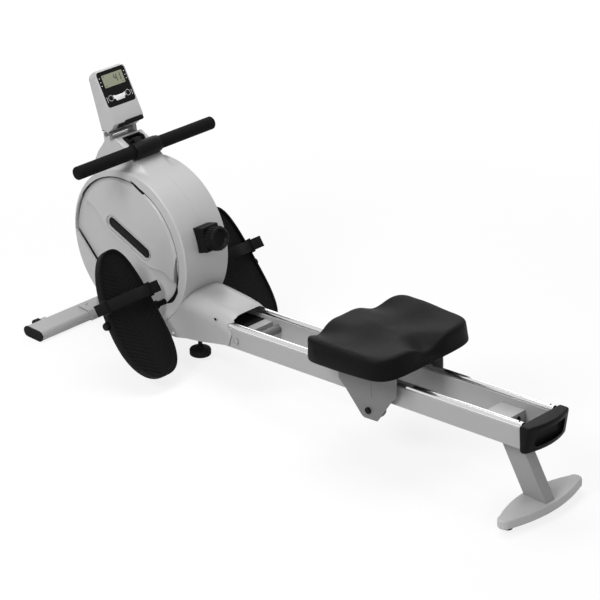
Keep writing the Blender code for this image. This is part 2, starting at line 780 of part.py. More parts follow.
def magnet_arm(frame, looks):
    """A curved arm round the flywheel's rim that carries the brake magnets."""
    inner = FLYWHEEL_RADIUS + ARM_GAP
    outer = inner + 0.012
    start = ARM_END_ANGLE
    sweep = ARM_PIVOT_ANGLE - start
    pivot = arm_pivot()
    centre = (DRUM_X - pivot[0], DRUM_Z - pivot[1])
    where = (pivot[0], 0, pivot[1])
    outline = arc(outer, start, sweep, 10, centre) + arc(inner, ARM_PIVOT_ANGLE, -sweep, 10, centre)
    edges = (FLYWHEEL_Y - 0.012, FLYWHEEL_Y + 0.012)
    arm = place("magnet_arm", prism(outline, *edges, "xz"), looks["steel"], frame, where)
    inward = (-0.024 * math.cos(ARM_PIVOT_ANGLE), -0.024 * math.sin(ARM_PIVOT_ANGLE))
    lug = prism(beam_between((0, 0), inward, 0.018), *edges, "xz")
    join(arm, helper("arm_lug", lug, frame, where))
    join(arm, helper("arm_eye", prism(circle(0.009, (0, 0), 18), *edges, "xz"), frame, where))
    hole = prism(circle(0.004 + RUN, (0, 0), 14), -0.060, 0.020, "xz")
    cut(arm, helper("arm_pivot_hole", hole, frame, where))
    for i, degrees in enumerate((26, 42, 58)):
        out = (math.cos(math.radians(degrees)), math.sin(math.radians(degrees)))
        near = (centre[0] + out[0] * (outer - 0.002), centre[1] + out[1] * (outer - 0.002))
        far = (centre[0] + out[0] * (outer + 0.006), centre[1] + out[1] * (outer + 0.006))
        magnet = prism(beam_between(near, far, 0.022), FLYWHEEL_Y - 0.010, FLYWHEEL_Y + 0.010, "xz")
        join(arm, helper(f"arm_magnet_{i}", magnet, frame, where))


def levelling_foot(frame, looks):
    """A disc on a threaded stem, screwed up a little way off the floor."""
    top = LEVEL_THICKNESS
    section = [
        (0, 0),
        (LEVEL_RADIUS - 0.002, 0),
        (LEVEL_RADIUS, 0.002),
        (LEVEL_RADIUS, top - 0.003),
        (LEVEL_RADIUS - 0.003, top),
        (0.010, top + 0.001),
        (0.010, top + 0.007),
        (LEVEL_STEM_RADIUS, top + 0.007),
        (LEVEL_STEM_RADIUS, 0.140),
        (0, 0.140),
    ]
    place("levelling_foot", turned(section, 20), looks["black"], frame, (LEVEL_X, 0, LEVEL_LIFT))


def fairing_shape(inset, reach):
    """A solid lofted along X: flat sides, a round crown and a rear end that slopes down."""
    half = FAIRING_HALF_WIDTH - inset
    radius = FAIRING_CROWN_RADIUS - inset
    bm = bmesh.new()
    loops = []
    for low_x, low_z, high_x, high_z in FAIRING_STATIONS:
        rear = reach if low_x > FAIRING_REAR_START else 0
        low = low_z + inset - reach * 4
        high = high_z - inset
        crown = arc(radius, 0, math.pi / 2, 5, (half - radius, high - radius))
        section = [(half, low)] + crown + [(-y, z) for y, z in reversed(crown)] + [(-half, low)]
        loop = []
        for y, z in section:
            share = (z - low) / (high - low)
            loop.append(bm.verts.new((low_x + (high_x - low_x) * share + rear, y, z)))
        loops.append(loop)
    for a, b in zip(loops, loops[1:]):
        for i in range(len(a)):
            j = (i + 1) % len(a)
            bm.faces.new((a[i], a[j], b[j], b[i]))
    bm.faces.new(loops[0])
    bm.faces.new(loops[-1])
    return bm


def lower_fairing(frame, rails, looks):
    body = place("lower_fairing", fairing_shape(0, 0), looks["paint"], frame)
    cut(body, helper("fairing_room", fairing_shape(FAIRING_WALL, 0.03), frame))
    drum = rod(DRUM_RADIUS + FIT, -0.12, 0.12, DRUM_STEPS)
    cut(body, helper("fairing_drum_gap", drum, frame, (DRUM_X, 0, DRUM_Z), ALONG_Y))
    front = block((-0.70, -0.500), (-0.12, 0.12), (0.0, 0.30))
    cut(body, helper("fairing_front_trim", front, frame))
    wide = BEAM_OUTER_Y + FIT
    beams_way = block((BEAM_FRONT - FIT, 0.060), (-wide, wide), (BEAM_TOP - 0.030, BEAM_TOP + FIT))
    cut(body, helper("fairing_beam_notch", beams_way, rails))
    for side, name in ((-1, "left"), (1, "right")):
        slot = rod(RAIL_RADIUS + 0.0010, RAIL_FRONT - 0.004, 0.060, 20)
        where = (0, side * RAIL_Y, 0)
        cut(body, helper(f"fairing_rail_slot_{name}", slot, rails, where, (0, math.pi / 2, 0)))


def neck_cover(frame, looks):
    outline = [
        (-0.765, 0.470),
        (-0.744, 0.509),
        (-0.732, 0.534),
        (-0.713, 0.559),
        (-0.706, 0.570),
        (-0.706, 0.580),
        (-0.675, 0.580),
        (-0.660, 0.590),
        (-0.618, 0.571),
        (-0.585, 0.5440),
        (-0.556, 0.5205),
        (-0.548, 0.470),
    ]
    half = NECK_HALF_WIDTH
    neck = place("neck_cover", prism(outline, -half, half, "xz"), looks["paint"], frame)
    bevel(neck, 0.005, 2)
    for side, name in ((-1, "left"), (1, "right")):
        ear = slot_between((HINGE_X + 0.003, HINGE_Z - 0.020), (HINGE_X, HINGE_Z), HINGE_EAR_RADIUS)
        edges = sorted((side * half, side * HINGE_EAR_INNER))
        join(neck, helper(f"neck_ear_{name}", prism(ear, *edges, "xz"), frame))
    drum = rod(DRUM_RADIUS + FIT, -0.12, 0.12, DRUM_STEPS)
    cut(neck, helper("neck_drum_gap", drum, frame, (DRUM_X, 0, DRUM_Z), ALONG_Y))
    room = [
        (-0.740, 0.460),
        (-0.724, 0.530),
        (-0.704, 0.560),
        (-0.668, 0.572),
        (-0.655, 0.583),
        (-0.624, 0.566),
        (-0.622, 0.5395),
        (-0.5890, 0.5395),
        (-0.5605, 0.5165),
        (-0.5560, 0.460),
    ]
    cut(neck, helper("neck_room", prism(room, -half + 0.004, half - 0.004, "xz"), frame))
    wide = GUIDE_HALF_WIDTH + FIT
    ends = (GUIDE_X - GUIDE_FRONT - FIT, GUIDE_X + GUIDE_REAR + FIT)
    cut(neck, helper("neck_mouth", block(ends, (-wide, wide), (0.545, 0.62)), frame))
    nest = rod(CLAMP_RADIUS + 0.0007, -0.06, 0.06, 26)
    cut(neck, helper("neck_bar_nest", nest, frame, (BAR_X, 0, BAR_Z), ALONG_Y))
    way = block((BAR_X, -0.50), (-0.06, 0.06), (BAR_Z - CLAMP_RADIUS - 0.0007, 0.65))
    cut(neck, helper("neck_bar_way", way, frame))
    pin = rod(HINGE_PIN_RADIUS + FIT, -0.06, 0.06, 16)
    cut(neck, helper("neck_pin_hole", pin, frame, (HINGE_X, 0, HINGE_Z), ALONG_Y))


def tilt_pin(frame, looks):
    head = NECK_HALF_WIDTH + FIT
    section = [
        (0, -head - 0.0025),
        (0.0065, -head - 0.0025),
        (0.0065, -head),
        (HINGE_PIN_RADIUS, -head),
        (HINGE_PIN_RADIUS, head),
        (0.0065, head),
        (0.0065, head + 0.0025),
        (0, head + 0.0025),
    ]
    where = (HINGE_X, 0, HINGE_Z)
    place("tilt_pin", turned(section, 14), looks["black"], frame, where, ALONG_Y)


def strap_guide(frame, looks):
    front = GUIDE_X - GUIDE_FRONT
    rear = GUIDE_X + GUIDE_REAR
    outline = [
        (front, 0.552),
        (rear, 0.552),
        (rear, 0.5735),
        (GUIDE_X + 0.004, 0.587),
        (GUIDE_X - 0.004, 0.589),
        (front, 0.589),
    ]
    wide = GUIDE_HALF_WIDTH
    body = place("strap_guide", prism(outline, -wide, wide, "xz"), looks["black"], frame)
    inner = GUIDE_ROLLER_HALF + RUN
    slot = block((front + 0.006, rear + 0.01), (-inner, inner), (0.54, 0.62))
    cut(body, helper("guide_slot", slot, frame))
    pin = rod(0.002 + RUN, -GUIDE_HALF_WIDTH + 0.001, GUIDE_HALF_WIDTH - 0.001, 16)
    cut(body, helper("guide_pin_hole", pin, frame, (GUIDE_X, 0, GUIDE_Z), ALONG_Y))


def guide_roller(frame, looks):
    end = GUIDE_HALF_WIDTH - 0.002
    section = [
        (0, -end),
        (0.002, -end),
        (0.002, -GUIDE_ROLLER_HALF),
        (GUIDE_ROLLER_RADIUS, -GUIDE_ROLLER_HALF),
        (GUIDE_ROLLER_RADIUS, GUIDE_ROLLER_HALF),
        (0.002, GUIDE_ROLLER_HALF),
        (0.002, end),
        (0, end),
    ]
    where = (GUIDE_X, 0, GUIDE_Z)
    place("guide_roller", turned(section, 16), looks["steel"], frame, where, ALONG_Y)


def pull_strap(frame, looks):
    """Webbing from the spool up over the guide roller to the handle's clamp."""
    middle = STRAP_THICKNESS / 2 + FIT
    wrap = GUIDE_ROLLER_RADIUS + middle
    spool = (DRUM_X - SPOOL_WOUND_RADIUS - middle, DRUM_Z)
    over = arc(wrap, math.radians(176), math.radians(-100), 8, (GUIDE_X, GUIDE_Z))
    end_angle = math.radians(152)
    reach = CLAMP_RADIUS + FIT + 0.0004
    end = (BAR_X + reach * math.cos(end_angle), BAR_Z + reach * math.sin(end_angle))
    path = [spool] + over + [end]
    half = STRAP_WIDTH / 2
    place("pull_strap", strip(path, STRAP_THICKNESS, -half, half, "xz"), looks["webbing"], frame)


def handle(frame, looks):
    pull = empty("handle_pull", frame, (BAR_X, 0, BAR_Z))
    half = BAR_HALF_LENGTH - 0.006
    tube = ring(BAR_TUBE_RADIUS, BAR_TUBE_RADIUS - BAR_TUBE_WALL, -half, half)
    place("handlebar_tube", tube, looks["steel"], pull, rotation=ALONG_Y)
    bore = BAR_TUBE_RADIUS + FIT
    inner = CLAMP_HALF_LENGTH + FIT
    for side, name in ((-1, "left"), (1, "right")):
        section = [
            (bore, inner),
            (GRIP_RADIUS, inner),
            (GRIP_RADIUS, BAR_HALF_LENGTH - 0.003),
            (GRIP_RADIUS - 0.003, BAR_HALF_LENGTH),
            (0, BAR_HALF_LENGTH),
            (0, half + FIT),
            (bore, half + FIT),
        ]
        grip = turned([(r, side * h) for r, h in section], 24)
        place(f"grip_{name}", grip, looks["foam"], pull, rotation=ALONG_Y)
    edge = 0.004
    section = [
        (bore, -CLAMP_HALF_LENGTH),
        (CLAMP_RADIUS - edge, -CLAMP_HALF_LENGTH),
        (CLAMP_RADIUS, -CLAMP_HALF_LENGTH + edge),
        (CLAMP_RADIUS, CLAMP_HALF_LENGTH - edge),
        (CLAMP_RADIUS - edge, CLAMP_HALF_LENGTH),
        (bore, CLAMP_HALF_LENGTH),
    ]
    place("handle_clamp", turned(section, 20), looks["black"], pull, rotation=ALONG_Y)


def console(frame, looks):
    """Built about its hinge: face towards local X, top towards local Z."""
    tilt = empty("console_tilt", frame, (HINGE_X, 0, HINGE_Z), (0, -CONSOLE_LEAN, 0))
    outline = [
        (-0.011, -0.004),
        (0.020, 0.001),
        (0.046, 0.008),
        (CONSOLE_FRONT, 0.016),
        (CONSOLE_FRONT, CONSOLE_TOP - 0.008),
        (CONSOLE_FRONT - 0.006, CONSOLE_TOP),
        (CONSOLE_FRONT - 0.026, CONSOLE_TOP - 0.003),
        (0.020, CONSOLE_TOP - 0.014),
    ]
    half = CONSOLE_HALF_WIDTH
    shell = place("console_shell", prism(outline, -half, half, "xz"), looks["paint"], tilt)
    bevel(shell, 0.004, 2, 50)
    corners = rounded(2 * half, 0.190, 0.020, (0, CONSOLE_TOP - 0.095), 5)
    combine(shell, helper("console_corners", prism(corners, -0.05, 0.08, "yz"), tilt), "INTERSECT")
    for side, name in ((-1, "left"), (1, "right")):
        gap = rod(HINGE_EAR_RADIUS + 0.0015, *sorted((side * 0.0365, side * 0.07)), 22)
        cut(shell, helper(f"console_ear_gap_{name}", gap, tilt, rotation=ALONG_Y))
    pin = rod(HINGE_PIN_RADIUS + RUN, -0.07, 0.07, 20)
    cut(shell, helper("console_pin_hole", pin, tilt, rotation=ALONG_Y))
    seat = rounded(FACE_WIDTH + 2 * FIT, FACE_LENGTH + 2 * FIT, 0.008 + FIT, (0, FACE_CENTRE))
    depth = CONSOLE_FRONT + 0.0004 - FACE_THICKNESS - FIT
    cut(shell, helper("console_face_seat", prism(seat, depth, 0.08, "yz"), tilt))
    face_outline = rounded(FACE_WIDTH, FACE_LENGTH, 0.008, (0, FACE_CENTRE))
    front = CONSOLE_FRONT + 0.0004
    plate = prism(face_outline, front - FACE_THICKNESS, front, "yz")
    face = place("console_face", plate, looks["gloss"], tilt)
    for side, name in ((-1, "left"), (1, "right")):
        centre = (side * BUTTON_Y, BUTTON_HEIGHT)
        well = prism(circle(BUTTON_RADIUS + RUN, centre, 20), 0.0440, 0.08, "yz")
        hole = helper(f"button_well_{name}", well, tilt)
        cut(shell, hole)
        cut(face, hole)
        press = empty(f"button_{name}_press", tilt, (front, *centre))
        cap = prism(circle(BUTTON_RADIUS, (0, 0), 20), -0.0070, 0.0010, "yz")
        place(f"button_{name}", cap, looks["black"], press)


def knob_base_outline(across):
    """The knob base's outline: height along local X, width along local Y."""
    high = KNOB_BASE_HEIGHT / 2 - KNOB_BASE_RAISE
    low = -KNOB_BASE_HEIGHT / 2 - KNOB_BASE_RAISE
    return [(low, across[0]), (high, across[0]), (high, across[1]), (low, across[1])]


def knob_axis_frame(frame):
    """Leaves the drum's rim: local Z points out of the drum, local X down along the rim."""
    out = (math.cos(KNOB_ANGLE) * DRUM_RADIUS, math.sin(KNOB_ANGLE) * DRUM_RADIUS)
    rim = (DRUM_X + out[0], 0, DRUM_Z + out[1])
    return empty("knob_axis", frame, rim, (0, math.pi / 2 - KNOB_ANGLE, 0))


def knob(out, looks):
    half = KNOB_BASE_WIDTH / 2
    outline = knob_base_outline((-half, half))
    low = KNOB_BOSS_HEIGHT + FIT
    base = place("knob_base", prism(outline, low, KNOB_BASE_DEPTH, "xy"), looks["black"], out)
    bevel(base, 0.005, 2, 30)
    bore = rod(0.006 + RUN, KNOB_BASE_DEPTH - 0.018, KNOB_BASE_DEPTH + 0.02, 18)
    cut(base, helper("knob_base_bore", bore, out))
    low = KNOB_BASE_DEPTH + RUN
    high = low + KNOB_DEPTH
    section = [
        (0, low - 0.016),
        (0.006, low - 0.016),
        (0.006, low),
        (KNOB_RADIUS - 0.003, low),
        (KNOB_RADIUS, low + 0.003),
        (KNOB_RADIUS, high - 0.009),
        (KNOB_RADIUS - 0.004, high - 0.002),
        (KNOB_RADIUS - 0.007, high),
        (KNOB_DISH_RADIUS, high - 0.001),
        (KNOB_DISH_RADIUS - 0.003, high - 0.005),
        (0, high - 0.007),
    ]
    place("resistance_knob", turned(section, 24), looks["black"], out)


def pedal_bar(frame, looks):
    end = PEDAL_BAR_HALF
    section = [
        (0, -end),
        (0.0095, -end),
        (0.0110, -end + 0.003),
        (0.0110, -end + 0.008),
        (PEDAL_BAR_RADIUS, -end + 0.008),
        (PEDAL_BAR_RADIUS, end - 0.008),
        (0.0110, end - 0.008),
        (0.0110, end - 0.003),
        (0.0095, end),
        (0, end),
    ]
    place("pedal_bar", turned(section, 16), looks["steel"], frame, (PEDAL_X, 0, PEDAL_Z), ALONG_Y)


def pedal_spot(scale, inset, angle, height):
    """A point of the pedal: an egg outline drawn in by the inset, curled towards the rower."""
    c = math.cos(angle)
    s = math.sin(angle)
    power = 2 / PEDAL_ROUNDNESS
    toe = math.copysign(abs(s) ** power, s)
    width = PEDAL_HALF_WIDTH * (1 - PEDAL_HEEL_SPREAD * toe) - inset
    across = math.copysign(abs(c) ** power, c) * width * scale
    along = toe * (PEDAL_HALF_LENGTH - inset) * scale
    return height + PEDAL_CURL * (along / PEDAL_HALF_LENGTH) ** 2, across, along


def pedal_plate():
    """Rings of points from the middle of the face out over the rim and back underneath."""
    count = 32
    under = PEDAL_FLOOR - PEDAL_SKIN
    rings = [
        (0.40, PEDAL_RIM_WIDTH, PEDAL_FLOOR),
        (0.72, PEDAL_RIM_WIDTH, PEDAL_FLOOR),
        (1, PEDAL_RIM_WIDTH + 0.001, PEDAL_FLOOR),
        (1, PEDAL_RIM_WIDTH, PEDAL_RIM),
        (1, 0.0008, PEDAL_RIM),
        (1, 0, PEDAL_RIM - 0.0015),
        (1, 0, PEDAL_BACK),
        (1, 0.0035, PEDAL_BACK),
        (1, 0.0040, under),
        (0.72, 0.0040, under),
        (0.40, 0.0040, under),
    ]
    bm = bmesh.new()
    loops = []
    for scale, inset, height in rings:
        angles = [2 * math.pi * i / count for i in range(count)]
        loops.append([bm.verts.new(pedal_spot(scale, inset, a, height)) for a in angles])
    top = bm.verts.new((PEDAL_FLOOR, 0, 0))
    base = bm.verts.new((under, 0, 0))
    for i in range(count):
        j = (i + 1) % count
        bm.faces.new((top, loops[0][i], loops[0][j]))
        for a, b in zip(loops, loops[1:]):
            bm.faces.new((a[i], b[i], b[j], a[j]))
        bm.faces.new((base, loops[-1][j], loops[-1][i]))
    return bm


def pedals(frame, looks):
    """Each is built about its pivot: face towards local X, toe towards local Z."""
    for side, name in ((-1, "left"), (1, "right")):
        where = (PEDAL_X, side * PEDAL_Y, PEDAL_Z)
        pivot = empty(f"pedal_{name}_pivot", frame, where, (0, -PEDAL_LEAN, 0))
        plate = place(f"pedal_{name}", pedal_plate(), looks["black"], pivot)
        ends = sorted((side * PEDAL_HUB_OUTER, side * -PEDAL_HUB_INNER))
        hub = helper(f"pedal_hub_{name}", rod(PEDAL_HUB_RADIUS, *ends, 20), pivot, rotation=ALONG_Y)
        under = block((-0.03, PEDAL_FLOOR - 0.001), (-0.12, 0.12), (-0.03, 0.03))
        combine(hub, helper(f"pedal_hub_trim_{name}", under, pivot), "INTERSECT")
        join(plate, hub)
        low = PEDAL_STRAP_ALONG - PEDAL_STRAP_WIDTH / 2 - 0.004
        high = PEDAL_STRAP_ALONG + PEDAL_STRAP_WIDTH / 2 + 0.004
        top = PEDAL_STRAP_LEVEL + PEDAL_STRAP_THICKNESS / 2 + 0.0035
        gap = PEDAL_STRAP_THICKNESS / 2 + FIT
        for ear_side in (-1, 1):
            edges = (ear_side * (PEDAL_EAR_OUTER - PEDAL_EAR_THICKNESS), ear_side * PEDAL_EAR_OUTER)
            label = "inner" if ear_side != side else "outer"
            ear = block((PEDAL_FLOOR - 0.002, top), sorted(edges), (low, high))
            join(plate, helper(f"pedal_ear_{label}_{name}", ear, pivot))
        slot = block(
            (PEDAL_STRAP_LEVEL - gap, PEDAL_STRAP_LEVEL + gap),
            (-0.12, 0.12),
            (low + 0.004 - FIT, high - 0.004 + FIT),
        )
        cut(plate, helper(f"pedal_slots_{name}", slot, pivot))
        bore = rod(PEDAL_BAR_RADIUS + RUN, -0.13, 0.13, 20)
        cut(plate, helper(f"pedal_bore_{name}", bore, pivot, rotation=ALONG_Y))
        pedal_strap(name, side, pivot, looks)


def pedal_strap(name, side, pivot, looks):
    """A band over the foot that runs flat through both ears and ends in a free tab on each side."""
    foot = PEDAL_EAR_OUTER - PEDAL_EAR_THICKNESS - 0.002
    path = [(side * -PEDAL_STRAP_INNER_END, PEDAL_STRAP_LEVEL)]
    steps = 12
    for i in range(steps + 1):
        share = -1 + 2 * i / steps
        rise = (PEDAL_STRAP_CROWN - PEDAL_STRAP_LEVEL) * math.cos(share * math.pi / 2) ** 2
        path.append((side * foot * share, PEDAL_STRAP_LEVEL + rise))
    path.append((side * PEDAL_STRAP_OUTER_END, PEDAL_STRAP_LEVEL))
    half = PEDAL_STRAP_WIDTH / 2
    band = strip(path, PEDAL_STRAP_THICKNESS, -half, half, "xy")
    for vert in band.verts:
        across, height, along = vert.co
        vert.co = (height, across, along + PEDAL_STRAP_ALONG)
    place(f"pedal_strap_{name}", band, looks["webbing"], pivot)


def beams(rails, looks):
    groove = RAIL_RADIUS + FIT
    lip = math.asin(BEAM_TOP / groove)
    for side, name in ((-1, "left"), (1, "right")):
        bed = arc(groove, lip, -math.pi - 2 * lip, 10, (RAIL_Y, 0))
        outline = [
            (BEAM_INNER_Y, BEAM_BOTTOM),
            (BEAM_OUTER_Y, BEAM_BOTTOM),
            (BEAM_OUTER_Y, BEAM_TOP),
        ] + bed + [(BEAM_INNER_Y, BEAM_TOP)]
        flipped = [(side * a, b) for a, b in outline]
        beam = place(f"beam_{name}", prism(flipped, BEAM_FRONT, RAIL_REAR, "yz"), looks["paint"], rails)
        room = block(
            (BEAM_FRONT - 0.01, RAIL_REAR + 0.01),
            sorted((side * (BEAM_INNER_Y + BEAM_WALL), side * (BEAM_OUTER_Y - BEAM_WALL))),
            (BEAM_BOTTOM + BEAM_WALL, -RAIL_RADIUS - 0.0035),
        )
        cut(beam, helper(f"beam_room_{name}", room, rails))
        bolt = rod(BOLT_RADIUS + FIT, *sorted((side * 0.040, side * 0.080)), 16)
        cut(beam, helper(f"beam_bolt_hole_{name}", bolt, rails, (BOLT_S, 0, BOLT_T), ALONG_Y))
        tube = ring(RAIL_RADIUS, RAIL_RADIUS - RAIL_WALL, RAIL_FRONT, RAIL_REAR, 22)
        where = (0, side * RAIL_Y, 0)
        place(f"rail_{name}", tube, looks["chrome"], rails, where, (0, math.pi / 2, 0))


def cross_tube(rails, looks):
    half = BEAM_INNER_Y - FIT
    tube = ring(CROSS_TUBE_RADIUS, CROSS_TUBE_RADIUS - 0.002, -half, half)
    place("cross_tube", tube, looks["paint"], rails, (CROSS_TUBE_S, 0, -0.028), ALONG_Y)


def assembly_bolt(rails, looks):
    """One bolt through both beams and the frame's tongue, a hexagon at each end."""
    face = BEAM_OUTER_Y + FIT
    shank = rod(BOLT_RADIUS, -face - 0.004, face + 0.004, 16)
    bolt = place("assembly_bolt", shank, looks["steel"], rails, (BOLT_S, 0, BOLT_T), ALONG_Y)
    for side, name in ((-1, "left"), (1, "right")):
        edges = sorted((side * face, side * (face + 0.006)))
        hexagon = prism(circle(0.0085, (BOLT_S, BOLT_T), 6), *edges, "xz")
        join(bolt, helper(f"bolt_hexagon_{name}", hexagon, rails))


def head_bracket(rails, looks):
    half = BEAM_INNER_Y - FIT
    box = place(
        "head_bracket",
        block((BRACKET_FRONT, BRACKET_REAR), (-half, half), (BEAM_BOTTOM, BRACKET_TOP)),
        looks["paint"],
        rails,
    )
    inner = BRACKET_WALL
    floor = BEAM_BOTTOM + 0.004
    room = block(
        (BRACKET_FRONT + inner, BRACKET_REAR - inner),
        (-half + inner, half - inner),
        (floor, BRACKET_TOP - inner),
    )
    plate = block((BRACKET_FRONT, BRACKET_PLATE_REAR), (-half, half), (BEAM_BOTTOM, floor))
    join(box, helper("bracket_plate", plate, rails))
    cut(box, helper("bracket_room", room, rails))
    ends = (BRACKET_REAR - 0.010, BRACKET_REAR + 0.010)
    window = prism(circle(0.009, (0.020, -0.037), 20), *ends, "yz")
    cut(box, helper("bracket_window", window, rails))


def leg_edge(offset, low):
    """A point on a long edge of the leg, at the height low or at the beams' underside."""
    along = (-math.sin(LEG_LEAN), math.cos(LEG_LEAN))
    across = (math.cos(LEG_LEAN), math.sin(LEG_LEAN))
    start = (LEG_LOW_X + across[0] * offset, LEG_LOW_Z + across[1] * offset)
    if low is not None:
        way = (low - start[1]) / along[1]
    else:
        normal = (-math.sin(PITCH), math.cos(PITCH))
        origin = rail_point(0, BEAM_BOTTOM - FIT)
        gap = (origin[0] - start[0]) * normal[0] + (origin[1] - start[1]) * normal[1]
        way = gap / (along[0] * normal[0] + along[1] * normal[1])
    return (start[0] + along[0] * way, start[1] + along[1] * way)


def rear_leg(frame, looks):
    low = FOOT_TOP + FIT
    half = LEG_DEPTH / 2
    outline = [leg_edge(-half, low), leg_edge(half, low), leg_edge(half, None), leg_edge(-half, None)]
    leg = place("rear_leg", prism(outline, -LEG_WIDTH / 2, LEG_WIDTH / 2, "xz"), looks["leg"], frame)
    inner = half - LEG_WALL
    room = beam_between(leg_edge(0, -0.10), leg_edge(0, 0.30), 2 * inner)
    side = LEG_WIDTH / 2 - LEG_WALL
    cut(leg, helper("leg_room", prism(room, -side, side, "xz"), frame))


def rear_foot(frame, looks):
    steps = 12
    front = []
    rear = []
    for i in range(steps + 1):
        y = -FOOT_HALF_LENGTH + 2 * FOOT_HALF_LENGTH * i / steps
        sweep = (y / FOOT_HALF_LENGTH) ** 2
        front.append((FOOT_FRONT_X + FOOT_FRONT_SWEEP * sweep, y))
        rear.append((FOOT_REAR_X - FOOT_REAR_SWEEP * sweep, y))
    tip_low = FOOT_FRONT_X + FOOT_FRONT_SWEEP
    tip_high = FOOT_REAR_X - FOOT_REAR_SWEEP
    radius = (tip_high - tip_low) / 2
    middle = (tip_low + tip_high) / 2
    right_tip = arc(radius, 0, math.pi, 6, (middle, FOOT_HALF_LENGTH))[1:-1]
    left_tip = arc(radius, math.pi, math.pi, 6, (middle, -FOOT_HALF_LENGTH))[1:-1]
    outline = rear + right_tip + front[::-1] + left_tip
    slab = prism(outline, PAD_HEIGHT + FIT, FOOT_TOP, "xy")
    foot = place("rear_foot", slab, looks["leg"], frame)
    bevel(foot, 0.005, 2, 60)
    for side, name in ((-1, "left"), (1, "right")):
        section = [
            (0, 0),
            (PAD_RADIUS - 0.001, 0),
            (PAD_RADIUS, 0.001),
            (PAD_RADIUS, PAD_HEIGHT),
            (0.004, PAD_HEIGHT),
            (0.004, PAD_HEIGHT + 0.010),
            (0, PAD_HEIGHT + 0.010),
        ]
        where = (PAD_X, side * PAD_Y, 0)
        place(f"foot_pad_{name}", turned(section, 18), looks["black"], frame, where)
        hole = rod(0.004 + FIT, 0, PAD_HEIGHT + 0.010 + FIT, 12)
        cut(foot, helper(f"foot_pad_hole_{name}", hole, frame, where))


def end_cap(rails, looks):
    half = END_CAP_HALF_WIDTH
    steps = 10
    bow = []
    for i in range(steps + 1):
        y = -half + 2 * half * i / steps
        bow.append((END_CAP_SIDE + (END_CAP_REAR - END_CAP_SIDE) * (1 - (y / half) ** 2), y))
    front = RAIL_REAR + FIT
    outline = [(front, -half)] + bow + [(front, half)]
    shape = prism(outline, END_CAP_BOTTOM, END_CAP_TOP, "xy")
    for vert in shape.verts:
        if vert.co.x > front + 0.001 and vert.co.z < 0:
            vert.co.x -= END_CAP_RAKE
    cap = place("end_cap", shape, looks["black"], rails)
    bevel(cap, 0.007, 2, 50)
    recess = prism(rounded(0.112, 0.042, 0.010, (0, -0.028)), END_CAP_SIDE - 0.010, 1.06, "yz")
    cut(cap, helper("end_cap_recess", recess, rails))
    for side, name in ((-1, "left"), (1, "right")):
        gap = BEAM_WALL + FIT
        plug = block(
            (RAIL_REAR - 0.018, front + 0.006),
            sorted((side * (BEAM_INNER_Y + gap), side * (BEAM_OUTER_Y - gap))),
            (BEAM_BOTTOM + gap, -RAIL_RADIUS - 0.0035 - FIT),
        )
        join(cap, helper(f"end_cap_plug_{name}", plug, rails))


def seat_carriage(slide, looks):
    """A bent sheet: a top plate and two side plates with the rollers' studs."""
    outer = PLATE_Y + PLATE_THICKNESS
    length = CARRIAGE_HALF_LENGTH
    top = CARRIAGE_TOP
    sheet = place(
        "seat_carriage",
        block((-length, length), (-outer, outer), (top - PLATE_THICKNESS, top)),
        looks["paint"],
        slide,
    )
    outline = [
        (-length, top),
        (-length, -0.023),
        (-0.077, -0.045),
        (-0.024, -0.107),
        (-0.016, -0.111),
        (0.028, -0.110),
        (0.078, -0.043),
        (length - 0.002, -0.023),
        (length, top),
    ]
    stud = ROLLER_WIDTH / 2 + 0.003
    for side, name in ((-1, "left"), (1, "right")):
        edges = sorted((side * PLATE_Y, side * outer))
        join(sheet, helper(f"carriage_plate_{name}", prism(outline, *edges, "xz"), slide))
        for along, end in ((-ROLLER_SPREAD, "front"), (ROLLER_SPREAD, "rear")):
            where = (along, 0, roller_t())
            pin = rod(0.004, *sorted((side * (RAIL_Y - stud), side * (outer + 0.003))), 12)
            join(sheet, helper(f"carriage_stud_{end}_{name}", pin, slide, where, ALONG_Y))
            head = rod(0.0075, *sorted((side * outer, side * (outer + 0.004))), 12)
            join(sheet, helper(f"carriage_head_{end}_{name}", head, slide, where, ALONG_Y))
    axle = rod(LOWER_AXLE_RADIUS + FIT, -0.12, 0.12, 20)
    cut(sheet, helper("carriage_axle_hole", axle, slide, (0, 0, lower_roller_t()), ALONG_Y))


def roller_t():
    return RAIL_RADIUS + ROLLER_RADIUS + FIT


def lower_roller_t():
    return BEAM_BOTTOM - LOWER_ROLLER_RADIUS - RUN


def rollers(slide, looks):
    half = ROLLER_WIDTH / 2
    bore = 0.004 + RUN
    for side, name in ((-1, "left"), (1, "right")):
        for along, where in ((-ROLLER_SPREAD, "front"), (ROLLER_SPREAD, "rear")):
            section = [
                (bore, -half),
                (ROLLER_RADIUS + 0.0010, -half),
                (ROLLER_RADIUS, -half * 0.35),
                (ROLLER_RADIUS, half * 0.35),
                (ROLLER_RADIUS + 0.0010, half),
                (bore, half),
            ]
            place(
                f"upper_roller_{where}_{name}",
                turned(section, 14),
                looks["nylon"],
                slide,
                (along, side * RAIL_Y, roller_t()),
                ALONG_Y,
            )
        wide = LOWER_ROLLER_WIDTH / 2
        section = [
            (LOWER_AXLE_RADIUS + RUN, -wide),
            (LOWER_ROLLER_RADIUS - 0.002, -wide),
            (LOWER_ROLLER_RADIUS, -wide + 0.002),
            (LOWER_ROLLER_RADIUS, wide - 0.002),
            (LOWER_ROLLER_RADIUS - 0.002, wide),
            (LOWER_AXLE_RADIUS + RUN, wide),
        ]
        place(
            f"lower_roller_{name}",
            turned(section, 20),
            looks["nylon"],
            slide,
            (0, side * (RAIL_Y + 0.005), lower_roller_t()),
            ALONG_Y,
        )


